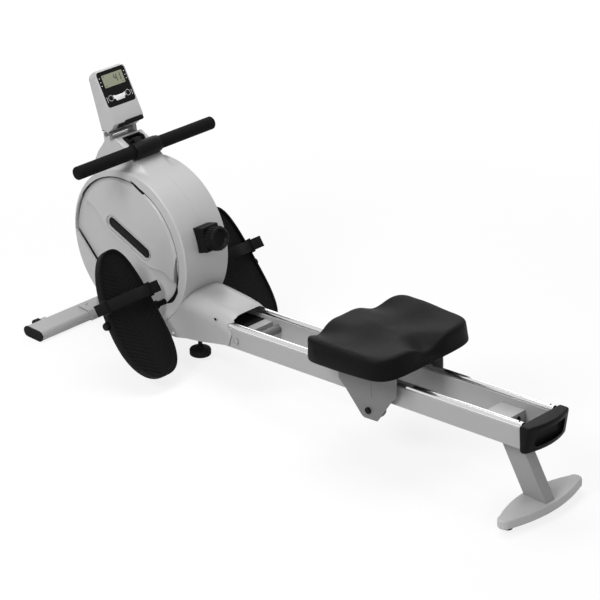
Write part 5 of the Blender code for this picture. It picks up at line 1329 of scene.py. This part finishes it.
class ROWER_OT_foot_plates(bpy.types.Operator):
    """Makes the foot plates with their ridges, and the straps over them"""

    bl_idname = "rower.foot_plates"
    bl_label = "Foot plates"

    # The plate's outline: a rounded oblong that narrows to the toe and curls up at both ends
    power = 2.42
    half_width = 0.0822
    taper = 0.163
    half_length = 0.1854
    curl = 0.021
    floor = 0.0105
    sheet = 0.004
    rim = 0.0182
    strap_place = 0.0455

    def execute(self, context):
        for side, name in SIDES:
            self.plate(side, name)
            self.ridges(side, name)
            self.strap(side, name)
        dress("pedal_bar", "black", "frame", 0.0006, 2, 40)
        return {"FINISHED"}

    def width_at(self, toe):
        return self.half_width * (1 - self.taper * toe)

    def bend(self, along):
        return self.curl * (along / self.half_length) ** 2

    def spot(self, scale, inset, angle, height):
        c = math.cos(angle)
        s = math.sin(angle)
        toe = math.copysign(abs(s) ** (2 / self.power), s)
        width = self.width_at(toe) - inset
        across = math.copysign(abs(c) ** (2 / self.power), c) * width * scale
        along = toe * (self.half_length - inset) * scale
        return height + self.bend(along), across, along

    def section(self):
        """The plate's section as (scale, inset, height), from its floor over the rim to its underside."""
        floor = self.floor
        rim = self.rim
        under = floor - self.sheet
        yield from ((scale, 0.0075, floor) for scale in (0.2, 0.4, 0.6, 0.8, 0.93))
        yield from ((1, 0.0085, floor), (1, 0.0072, floor + 0.0005), (1, 0.0064, floor + 0.002))
        yield from ((1, 0.0060, rim - 0.0012), (1, 0.0052, rim - 0.0002), (1, 0.0042, rim))
        yield from ((1, 0.0022, rim), (1, 0.0008, rim - 0.0004), (1, 0, rim - 0.0016), (1, 0, 0.002))
        yield from ((1, 0, -0.0030), (1, 0.0006, -0.0034), (1, 0.0032, -0.0034), (1, 0.0038, -0.0028))
        yield from ((1, 0.0040, under - 0.001), (1, 0.0052, under))
        yield from ((scale, 0.0052, under) for scale in (0.8, 0.5, 0.25))

    def plate(self, side, name):
        where = PEDAL_FRAMES[side]
        turns = [2 * math.pi * i / 120 for i in range(120)]
        rings = []
        for scale, inset, height in self.section():
            rings.append([self.spot(scale, inset, a, height) for a in turns])
        form = dome(rings, (self.floor, 0, 0), (self.floor - self.sheet, 0, 0))
        plate = solid(f"foot_plate_{name}", form, where)
        hub = solid(f"hub_{name}", rod(0.0125, *span(side, 0.0835, -0.0995), 40), where @ ALONG_Y)
        under = block((-0.03, self.floor - 0.001), (-0.12, 0.12), (-0.03, 0.03))
        carve(hub, [solid("hub_trim", under, where)], "INTERSECT")
        ears = [hub]
        for edge in (-1, 1):
            form = block((self.floor - 0.002, 0.0352), span(edge, 0.0760, 0.0800), (0.0255, 0.0655))
            ears.append(soften(solid(f"ear_{edge}", form, where), 0.0012, angle=40))
        carve(plate, ears, "UNION")
        strap_way = solid("strap_slot", block((0.0289, 0.0320), (-0.12, 0.12), (0.0292, 0.0618)), where)
        bore = solid("bar_bore", rod(0.0085, -0.13, 0.13, 32), where @ ALONG_Y)
        carve(plate, [strap_way, bore])
        place(plate, "grip", f"{name}_foot_plate", (f"pedal_{name}",), 35)

    def inside(self, across, along, margin=0.0115):
        """Whether a point of the floor lies within the rim by a margin."""
        toe = along / (self.half_length - margin)
        if abs(toe) >= 1:
            return False
        width = self.width_at(toe) - margin
        return abs(across / width) ** self.power + abs(toe) ** self.power < 1

    def ridges(self, side, name):
        """Slanted ridges in a herringbone, cut off at the rim and clear of the strap's ears."""
        s = sizes()
        lines = []
        slant = math.tan(math.radians(32))
        middle = 0.0035
        lowest = -0.24
        steps = 24
        for i in range(int(-2 * lowest / s.ridge_pitch)):
            start = lowest + i * s.ridge_pitch
            for half in (-1, 1):
                run = []
                for k in range(steps + 1):
                    across = half * (middle + (self.half_width - middle) * k / steps)
                    along = start + abs(across) * slant
                    blocked = abs(along - self.strap_place) < 0.0235 and abs(across) > 0.070
                    if self.inside(across, along) and not blocked:
                        height = self.floor + self.bend(along)
                        run.append((height + s.ridge_radius * 0.15, across, along))
                    elif len(run) > 2:
                        break
                if len(run) > 2:
                    lines.append(run)
        ridge_sizes = {"Radius": s.ridge_radius, "Sides": 8}
        mesh = lines_mesh("ridge_lines", lines)
        ridges = grown(f"foot_ridges_{name}", mesh, "ridges", "grip", ridge_sizes, PEDAL_FRAMES[side])
        place(ridges, "grip", f"{name}_foot_plate", (), 50)

    def strap(self, side, name):
        """The strap through both ears and over the foot, with a stitched end."""
        half_arch = 0.0740
        level = 0.0304
        rise = 0.0196
        steps = 36
        spots = [(-0.1105, level), (-0.098, level), (-0.086, level)]
        for i in range(steps + 1):
            share = -1 + 2 * i / steps
            spots.append((half_arch * share, level + rise * math.cos(share * math.pi / 2) ** 2))
        spots += [(0.086, level), (0.102, level), (0.1185, level)]
        turn = PEDAL_FRAMES[side]
        path = [turn @ Vector((height, side * across, self.strap_place)) for across, height in spots]
        across = (turn.to_3x3() @ Vector((0, 0, 1))).normalized()
        ups = frames_along(path, across)
        strap = band(f"foot_strap_{name}", path, across, ups, FOOT_STRAP_WIDTH, FOOT_STRAP_THICKNESS)
        place(strap, "webbing", f"{name}_foot_plate", (f"pedal_strap_{name}",), 50)
        outwards = math.copysign(1, (turn.to_3x3() @ Vector((1, 0, 0))).dot(ups[20]))
        corners = []
        for index, edge in ((-4, -1), (-1, -1), (-1, 1), (-4, 1)):
            inset = edge * (FOOT_STRAP_WIDTH / 2 - 0.003)
            corners.append(path[index] + across * inset + ups[index] * outwards * 0.0014)
        box = [closed_line(corners), [corners[0], corners[2]], [corners[1], corners[3]]]
        thread = {"Stitch length": sizes().stitch_length, "Thread radius": 0.00035}
        mesh = lines_mesh("stitch_lines", box)
        stitches = grown(f"strap_stitches_{name}", mesh, "stitches", "rubber", thread)
        place(stitches, "rubber", f"{name}_foot_plate", (), 50)


class ROWER_OT_knob(bpy.types.Operator):
    """Makes the resistance knob with its grip ribs, on its block"""

    bl_idname = "rower.knob"
    bl_label = "Resistance knob"

    low = 0.0365
    high = 0.0685
    radius = 0.0321
    rib_count = 24

    def execute(self, context):
        low = self.low
        high = self.high
        dress("knob_base", "black", "frame", 0.0009, 2, 35)
        outline = ((-0.037, -0.028), (0.033, -0.028), (0.033, 0.028), (-0.037, 0.028))
        skirt = solid("knob_skirt", prism(outline, -0.0035, 0.0152, "xy"), KNOB_FRAME)
        soften(skirt, 0.0009, angle=35)
        place(skirt, "black", "frame", (), 35)
        section = [(0, low - 0.016), (0.006, low - 0.016), (0.006, low), (0.0305, low)]
        section += [(0.0320, low + 0.0015), (0.0322, high - 0.010)]
        section += [(0.0312, high - 0.0040), (0.0290, high - 0.0012), (0.0268, high)]
        section += [(0.0240, high - 0.0004), (0.0225, high - 0.0020), (0.0190, high - 0.0080)]
        section += [(0.0100, high - 0.0096), (0, high - 0.0100)]
        knob = solid("knob_body", turned(section, 96), KNOB_FRAME)
        place(knob, "black", "knob", ("resistance_knob",), 30)
        ring = {"Ring radius": self.radius, "Count": self.rib_count}
        ribs = grown("knob_ribs", self.rib(), "ring", "black", ring, KNOB_FRAME)
        place(ribs, "black", "knob", (), 40)
        return {"FINISHED"}

    def rib(self):
        """The mesh of one upright rib."""
        r = sizes().flute_radius
        section = [(0, self.low + 0.0015), (r * 0.8, self.low + 0.0015), (r, self.low + 0.0030)]
        section += [(r, self.high - 0.0100), (r * 0.7, self.high - 0.0060), (0, self.high - 0.0045)]
        rib = solid("rib", turned(section, 10))
        mesh = rib.data
        bpy.data.objects.remove(rib)
        return mesh


# ---------------------------------------------------------------- rails, frame and rear end


class ROWER_OT_rails(bpy.types.Operator):
    """Makes the chrome rails and finishes the painted beams, cross tube and bracket; the cross tube's dark
    finish and a black sheet under the fairing's lip are painted shade
    """

    bl_idname = "rower.rails"
    bl_label = "Rails and beams"

    half_gauge = 0.060
    radius = 0.0105
    bore = 0.0090
    front = -0.060
    rear = 0.9835
    edge = 0.0004

    def execute(self, context):
        outer = self.radius
        inner = outer - self.edge
        section = [(self.bore, self.front), (inner, self.front), (outer, self.front + self.edge)]
        section += [(outer, self.rear - self.edge), (inner, self.rear), (self.bore, self.rear)]
        for side, name in SIDES:
            dress(f"beam_{name}", "paint", "frame", 0.0008, 2, 40)
            where = RAIL_FRAME @ Matrix.Translation((0, side * self.half_gauge, 0)) @ ALONG_X
            rail = solid(f"chrome_rail_{name}", turned(section, 72), where)
            place(rail, "chrome", "frame", (f"rail_{name}",), 40)
        # The cross tube takes the dark grey shade finish as painted shade for the hollow under the fairing's
        # lip.
        dress("cross_tube", "shade", "frame")
        dress("head_bracket", "paint", "frame", 0.0009, 2, 40)
        # A thin black sheet under the fairing's lip, between the rails: painted shadow for the dark mouth of
        # the fairing.
        form = block((-0.085, 0.0045), (-0.0460, 0.0460), (-0.0124, -0.0112))
        place(solid("lip_shadow_sheet", form, RAIL_FRAME), "rubber", "frame")
        dress("assembly_bolt", "steel", "frame", 0.0005, 2, 40)
        return {"FINISHED"}


class ROWER_OT_rear(bpy.types.Operator):
    """Finishes the end cap, the rear leg, its foot and pads"""

    bl_idname = "rower.rear"
    bl_label = "Rear end"

    def execute(self, context):
        dress("end_cap", "black", "frame", 0.0012, 3, 28)
        dress("rear_leg", "leg", "frame", 0.0025, 3, 40)
        dress("rear_foot", "foot", "frame", 0.0010, 2, 28)
        for side, name in SIDES:
            dress(f"foot_pad_{name}", "rubber", "frame")
        return {"FINISHED"}


class ROWER_OT_front(bpy.types.Operator):
    """Finishes the main frame, the front stabiliser, its caps and wheels, and the levelling foot"""

    bl_idname = "rower.front"
    bl_label = "Front end"

    stem_top = 0.1519

    def execute(self, context):
        dress("front_stabiliser", "paint", "frame", 0.0004, 2, 45)
        dress("main_frame", "paint", "frame", 0.0006, 2, 45)
        for side, name in SIDES:
            dress(f"stabiliser_cap_{name}", "black", "frame", 0.0012, 3, 45)
            dress(f"transport_wheel_{name}", "rubber", f"{name}_wheel", 0.0004, 2, 40)
        disc = [(0, 0.0120), (0.0285, 0.0120), (0.0298, 0.0134), (0.0300, 0.0255), (0.0285, 0.0282)]
        neck = [(0.0240, 0.0298), (0.0120, 0.0312), (0.0100, 0.0330), (0.0100, 0.0385), (0.0060, 0.0390)]
        section = disc + neck + [(0.0060, self.stem_top), (0, self.stem_top)]
        where = Matrix.Translation((LEVELLER_X, 0, 0))
        foot = solid("levelling_foot_disc", turned(section, 48), where)
        place(foot, "rubber", "leveller", ("levelling_foot",), 35)
        dress("lower_fairing", "fairing", "frame", 0.0009, 2, 35)
        return {"FINISHED"}


class ROWER_OT_screws(bpy.types.Operator):
    """Sets the small screws on the fairing and on the rails' rear ends"""

    bl_idname = "rower.screws"
    bl_label = "Screws"

    fairing_side = 0.0780

    def execute(self, context):
        radius = sizes().screw_radius
        y = self.fairing_side
        dark = [((-0.2373, side * y, 0.194), (0, side, 0)) for side, _ in SIDES]
        self.screws("fairing_screws", dark, "black", radius, 0.0012)
        bright = [((-0.4030, side * y, 0.0955), (0, side, 0)) for side, _ in SIDES]
        self.screws("fairing_bolts", bright, "steel", radius * 1.2, 0.0030)
        up = (RAIL_FRAME.to_3x3() @ Vector((0, 0, 1))).normalized()
        half_gauge = ROWER_OT_rails.half_gauge
        ends = [(RAIL_FRAME @ Vector((0.972, side * half_gauge, 0.0103)), up) for side, _ in SIDES]
        self.screws("rail_screws", ends, "black", 0.0026, 0.0010)
        return {"FINISHED"}

    def screws(self, name, spots, look, radius, height):
        head = {"Radius": radius, "Height": height}
        screws = grown(name, points_mesh(name + "_spots", spots), "screws", look, head)
        place(screws, look, "frame", (), 30)


# ---------------------------------------------------------------- seat


# Places on the seat are (s, y, t): along the rails, across them and up from them
SEAT_BASE = 0.0526
SEAT_CROWN = 0.1165


def seat_top(s, y):
    """Height of the crown: leg channels at the front, two wells and a tailbone notch."""
    front = 1 - smooth_step(s, 0.355, 0.480)
    rim = SEAT_CROWN - 0.006 * smooth_step(s, 0.42, 0.62)
    channels = 0.023 * bell(abs(y), 0.106, 0.042) * front
    nose = 0.008 * bell(y, 0, 0.060) * front
    wells = 0.019 * bell(abs(y), 0.078, 0.062) * bell(s, 0.500, 0.080)
    valley = 0.006 * bell(y, 0, 0.035) * smooth_step(s, 0.42, 0.50)
    notch = 0.026 * bell(y, 0, 0.042) * smooth_step(s, 0.545, 0.620)
    return rim - channels - nose - wells - valley - notch


def seat_spot(scale, angle, depth=0.0):
    """A point of the seat's outline, drawn in by a scale and lowered by a share of its depth."""
    c = math.cos(angle)
    d = math.sin(angle)
    n = 5.6 if c > 0 else 11
    reach = scale / (abs(c) ** n + abs(d) ** n) ** (1 / n)
    across = reach * d
    front = 0.334 + 0.040 * across**2
    rear = 0.639 + 0.006 * depth - 0.007 * bell(across, 0, 0.20) * (1 - depth)
    s = front + (rear - front) * (reach * c + 1) / 2
    half = 0.1865 - 0.0100 * smooth_step(s, 0.46, 0.62) * (1 - depth / 3)
    return s, half * across


# The seat's skin from its middle over the lip: scale, share of depth and drop below the crown
SEAT_CROWN_RINGS = [(scale, 0, 0.0) for scale in (0.08, 0.18, 0.28, 0.38, 0.48, 0.57, 0.66, 0.74, 0.81, 0.87)]
SEAT_CROWN_RINGS += [(0.915, 0, 0.0), (0.948, 0, 0.0004), (0.970, 0.02, 0.0014), (0.985, 0.04, 0.0032)]
SEAT_CROWN_RINGS += [(0.995, 0.07, 0.0062), (0.999, 0.1, 0.0100), (1.000, 0.2, 0.0160)]
SEAT_CROWN_RINGS += [(1.000, 0.35, 0.0240), (1.000, 0.5, 0.0330)]
# Its lower edge and underside: scale, share of depth and rise above the base board
SEAT_BASE_RINGS = [(0.999, 0.8, 0.0110), (0.998, 1.0, 0.0050), (0.993, 1.0, 0.0016), (0.984, 1.0, 0.0)]
SEAT_BASE_RINGS += [(scale, 1.0, 0.0) for scale in (0.80, 0.5, 0.2)]


def seat_mesh():
    """Rings from the crown's middle over the lip and down to the base board."""
    turns = [2 * math.pi * i / 128 for i in range(128)]
    rings = []
    for scale, depth, drop in SEAT_CROWN_RINGS:
        spots = [seat_spot(scale, a, depth) for a in turns]
        rings.append([(s, y, max(seat_top(s, y) - drop, SEAT_BASE + 0.012)) for s, y in spots])
    for scale, depth, rise in SEAT_BASE_RINGS:
        rings.append([(*seat_spot(scale, a, depth), SEAT_BASE + rise) for a in turns])
    centre = seat_spot(0, 0)
    return solid("seat_pad", dome(rings, (*centre, seat_top(*centre)), (*centre, SEAT_BASE)))


def swell(pad, cap, held_below):
    """Blows the skin up a little as cloth over its foam, and holds what rests on the base board."""
    rest = [v.co.copy() for v in pad.data.vertices]
    group = pad.vertex_groups.new(name="held")
    group.add([v.index for v in pad.data.vertices if v.co.z < held_below], 1.0, "REPLACE")
    cloth = pad.modifiers.new("skin", "CLOTH")
    cloth.settings.quality = 6
    cloth.settings.use_pressure = True
    cloth.settings.uniform_pressure_force = 4.0
    cloth.settings.effector_weights.gravity = 0.0
    cloth.settings.vertex_group_mass = "held"
    cloth.settings.tension_stiffness = 30
    cloth.settings.compression_stiffness = 30
    cloth.settings.bending_stiffness = 2.0
    cloth.collision_settings.use_self_collision = False
    for step in range(1, 21):
        bpy.context.scene.frame_set(step)
    graph = bpy.context.evaluated_depsgraph_get()
    blown = bpy.data.meshes.new_from_object(pad.evaluated_get(graph))
    pad.modifiers.clear()
    pad.vertex_groups.clear()
    for vertex, start, end in zip(pad.data.vertices, rest, blown.vertices):
        way = end.co - start
        if way.length > cap:
            way *= cap / way.length
        vertex.co = start + way
    bpy.data.meshes.remove(blown)
    bpy.context.scene.frame_set(1)


class ROWER_OT_seat(bpy.types.Operator):
    """Makes the padded seat: a moulded foam form whose skin swells a little under pressure"""

    bl_idname = "rower.seat"
    bl_label = "Seat"

    def execute(self, context):
        pad = seat_mesh()
        swell(pad, sizes().seat_swell, SEAT_BASE + 0.006)
        rounder = pad.modifiers.new("rounder", "SUBSURF")
        rounder.levels = 1
        rounder.render_levels = 1
        bake(pad)
        pad.data.transform(RAIL_FRAME)
        place(pad, "skin", "seat", ("seat_cushion",), 60)
        return {"FINISHED"}


class ROWER_OT_carriage(bpy.types.Operator):
    """Finishes the seat's carriage, its axle and its rollers, with painted shade on its fold lines and on the
    axle's end
    """

    bl_idname = "rower.carriage"
    bl_label = "Seat carriage"

    def execute(self, context):
        dress("seat_carriage", "plate", "seat", 0.0006, 2, 45)
        # Thin dark grey strips on the carriage's side plates: painted shade for the crease along their fold
        # line.
        fold_shades = [
            block((0.5125, 0.5142), span(side, 0.0895, 0.0906), (-0.0480, 0.0480)) for side, _ in SIDES
        ]
        place(joined("carriage_fold_shade", fold_shades, RAIL_FRAME), "shade", "seat")
        # The axle takes the black finish as painted shade: its end stands for the dark hole at the axle.
        dress("lower_axle", "black", "seat", 0.0006, 2, 40)
        for end in ("front", "rear"):
            for side, name in SIDES:
                dress(f"upper_roller_{end}_{name}", "nylon", f"{end}_{name}_roller")
        for side, name in SIDES:
            dress(f"lower_roller_{name}", "nylon", f"low_{name}_roller")
        return {"FINISHED"}


class ROWER_OT_inner_works(bpy.types.Operator):
    """Gives the flywheel, spool, brake and spring inside the drum their finishes"""

    bl_idname = "rower.inner_works"
    bl_label = "Inner works"

    def execute(self, context):
        for node, look in (
            ("flywheel", "iron"),
            ("flywheel_axle", "steel"),
            ("strap_spool", "black"),
            ("recoil_spring", "steel"),
            ("magnet_arm", "steel"),
        ):
            set_finish(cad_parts[node], finish(look))
        return {"FINISHED"}


# ---------------------------------------------------------------- stage


# Name, power in watts, width and height, place, and the point that the lamp faces
LAMPS = (
    ("key_softbox", 68, (1.4, 1.0), (0.0, -2.9, 2.6), (-0.1, 0, 0.3)),
    ("rear_softbox", 13, (1.2, 1.2), (3.4, -0.8, 1.6), (0, 0, 0.3)),
    ("top_softbox", 56, (2.4, 1.4), (-0.5, 0.2, 3.2), (-0.1, 0, 0.2)),
    ("far_softbox", 16, (2.2, 1.2), (-2.6, 2.6, 2.3), (0, 0, 0.3)),
)
WHITE = (1, 1, 1, 1)
WORLD_LIGHT = 0.24
WORLD_MIRRORED = 0.75
FLOOR_GREY = (0.86, 0.86, 0.86, 1)
FLOOR_WHITE = 1.03
SEEN = ("Is Camera Ray", "Is Transmission Ray")


def area_lamp(name, energy, size, place_at, aim):
    lamp = bpy.data.lights.new(name, "AREA")
    lamp.energy = energy
    lamp.shape = "RECTANGLE"
    lamp.size, lamp.size_y = size
    obj = link(name, lamp)
    obj.location = place_at
    obj.rotation_euler = (Vector(aim) - Vector(place_at)).to_track_quat("-Z", "Y").to_euler()


def ray_kinds(nodes, links, kinds):
    """One when the ray is of any of these kinds."""
    path = nodes.new("ShaderNodeLightPath")
    total = path.outputs[kinds[0]]
    for kind in kinds[1:]:
        both = nodes.new("ShaderNodeMath")
        both.operation = "MAXIMUM"
        links.new(total, both.inputs[0])
        links.new(path.outputs[kind], both.inputs[1])
        total = both.outputs[0]
    return total


def shader_mix(nodes, links, share, first, second):
    mix = nodes.new("ShaderNodeMixShader")
    for i, source in enumerate((share, first, second)):
        links.new(source, mix.inputs[i])
    return mix.outputs[0]


class ROWER_OT_stage(bpy.types.Operator):
    """Sets up the pale floor, the soft lamps, the world and the camera"""

    bl_idname = "rower.stage"
    bl_label = "Stage"

    def execute(self, context):
        self.floor()
        self.world()
        for lamp in LAMPS:
            area_lamp(*lamp)
        self.camera()
        context.scene.view_settings.view_transform = "Standard"
        return {"FINISHED"}

    def floor(self):
        """A floor that takes shadows near the machine and fades to plain white in the distance."""
        floor = solid("floor", prism(circle(30.0, 96), -0.02, 0.0, "xy"))
        material = bpy.data.materials.new("Pale floor")
        material.use_nodes = True
        nodes = material.node_tree.nodes
        links = material.node_tree.links
        paint = nodes["Principled BSDF"]
        paint.inputs["Base Color"].default_value = FLOOR_GREY
        paint.inputs["Roughness"].default_value = 0.9
        white = nodes.new("ShaderNodeEmission")
        white.inputs["Color"].default_value = WHITE
        white.inputs["Strength"].default_value = FLOOR_WHITE
        where = nodes.new("ShaderNodeTexCoord")
        distance = nodes.new("ShaderNodeVectorMath")
        distance.operation = "LENGTH"
        links.new(where.outputs["Object"], distance.inputs[0])
        fade = nodes.new("ShaderNodeMapRange")
        fade.interpolation_type = "SMOOTHSTEP"
        for label, value in (("From Min", 1.0), ("From Max", 2.6), ("To Min", 0.80), ("To Max", 1.0)):
            fade.inputs[label].default_value = value
        links.new(distance.outputs["Value"], fade.inputs["Value"])
        share = nodes.new("ShaderNodeMath")
        share.operation = "MULTIPLY"
        links.new(ray_kinds(nodes, links, SEEN), share.inputs[0])
        links.new(fade.outputs["Result"], share.inputs[1])
        mixed = shader_mix(nodes, links, share.outputs[0], paint.outputs[0], white.outputs[0])
        links.new(mixed, nodes["Material Output"].inputs["Surface"])
        set_finish(floor, material)
        floor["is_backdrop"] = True

    def world(self):
        """An even light, a little brighter in reflections and plain white where it is seen."""
        world = bpy.data.worlds.new("Studio")
        bpy.context.scene.world = world
        world.use_nodes = True
        nodes = world.node_tree.nodes
        links = world.node_tree.links
        sources = [nodes["Background"], nodes.new("ShaderNodeBackground"), nodes.new("ShaderNodeBackground")]
        for source, strength in zip(sources, (WORLD_LIGHT, WORLD_MIRRORED, 1.0)):
            source.inputs["Color"].default_value = WHITE
            source.inputs["Strength"].default_value = strength
        light, mirrored, seen = (source.outputs[0] for source in sources)
        glossy = ray_kinds(nodes, links, ("Is Glossy Ray",))
        unseen = shader_mix(nodes, links, glossy, light, mirrored)
        mixed = shader_mix(nodes, links, ray_kinds(nodes, links, SEEN), unseen, seen)
        links.new(mixed, nodes["World Output"].inputs["Surface"])

    def camera(self):
        camera = bpy.data.cameras.new("Camera")
        camera.lens = 153.587
        camera.sensor_width = 36.0
        camera.sensor_fit = "HORIZONTAL"
        camera.clip_end = 100.0
        obj = link("Camera", camera)
        obj.location = (4.1508, -4.3383, 3.2339)
        obj.rotation_euler = (math.radians(90 - 26.0144), 0, math.radians(43.7291))
        bpy.context.scene.camera = obj


# ---------------------------------------------------------------- add-on


OPERATORS = (
    ROWER_OT_stage,
    ROWER_OT_drum,
    ROWER_OT_display,
    ROWER_OT_neck,
    ROWER_OT_handle,
    ROWER_OT_foot_plates,
    ROWER_OT_knob,
    ROWER_OT_rails,
    ROWER_OT_rear,
    ROWER_OT_front,
    ROWER_OT_screws,
    ROWER_OT_seat,
    ROWER_OT_carriage,
    ROWER_OT_inner_works,
)


class ROWER_PT_panel(bpy.types.Panel):
    """Lists the sizes, the colours and the steps"""

    bl_idname = "ROWER_PT_panel"
    bl_label = "Rowing machine"
    bl_space_type = "VIEW_3D"
    bl_region_type = "UI"
    bl_category = "Rower"

    def draw(self, context):
        for group in (context.scene.rower_sizes, context.scene.rower_colours):
            box = self.layout.box()
            for name in group.__annotations__:
                box.prop(group, name)
        for operator in OPERATORS:
            self.layout.operator(operator.bl_idname)


CLASSES = (RowerSizes, RowerColours, *OPERATORS, ROWER_PT_panel)


def register():
    for cls in CLASSES:
        bpy.utils.register_class(cls)
    bpy.types.Scene.rower_sizes = bpy.props.PointerProperty(type=RowerSizes)
    bpy.types.Scene.rower_colours = bpy.props.PointerProperty(type=RowerColours)


def unregister():
    del bpy.types.Scene.rower_colours
    del bpy.types.Scene.rower_sizes
    for cls in reversed(CLASSES):
        bpy.utils.unregister_class(cls)


def plain(box):
    return [[round(float(v), 5) for v in corner] for corner in box]


def main():
    register()
    for operator in OPERATORS:
        family, name = operator.bl_idname.split(".")
        getattr(getattr(bpy.ops, family), name)()
    {"cad": plain(CAD_BOX), "visual": plain(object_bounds())}


if __name__ == "__main__":
    main()
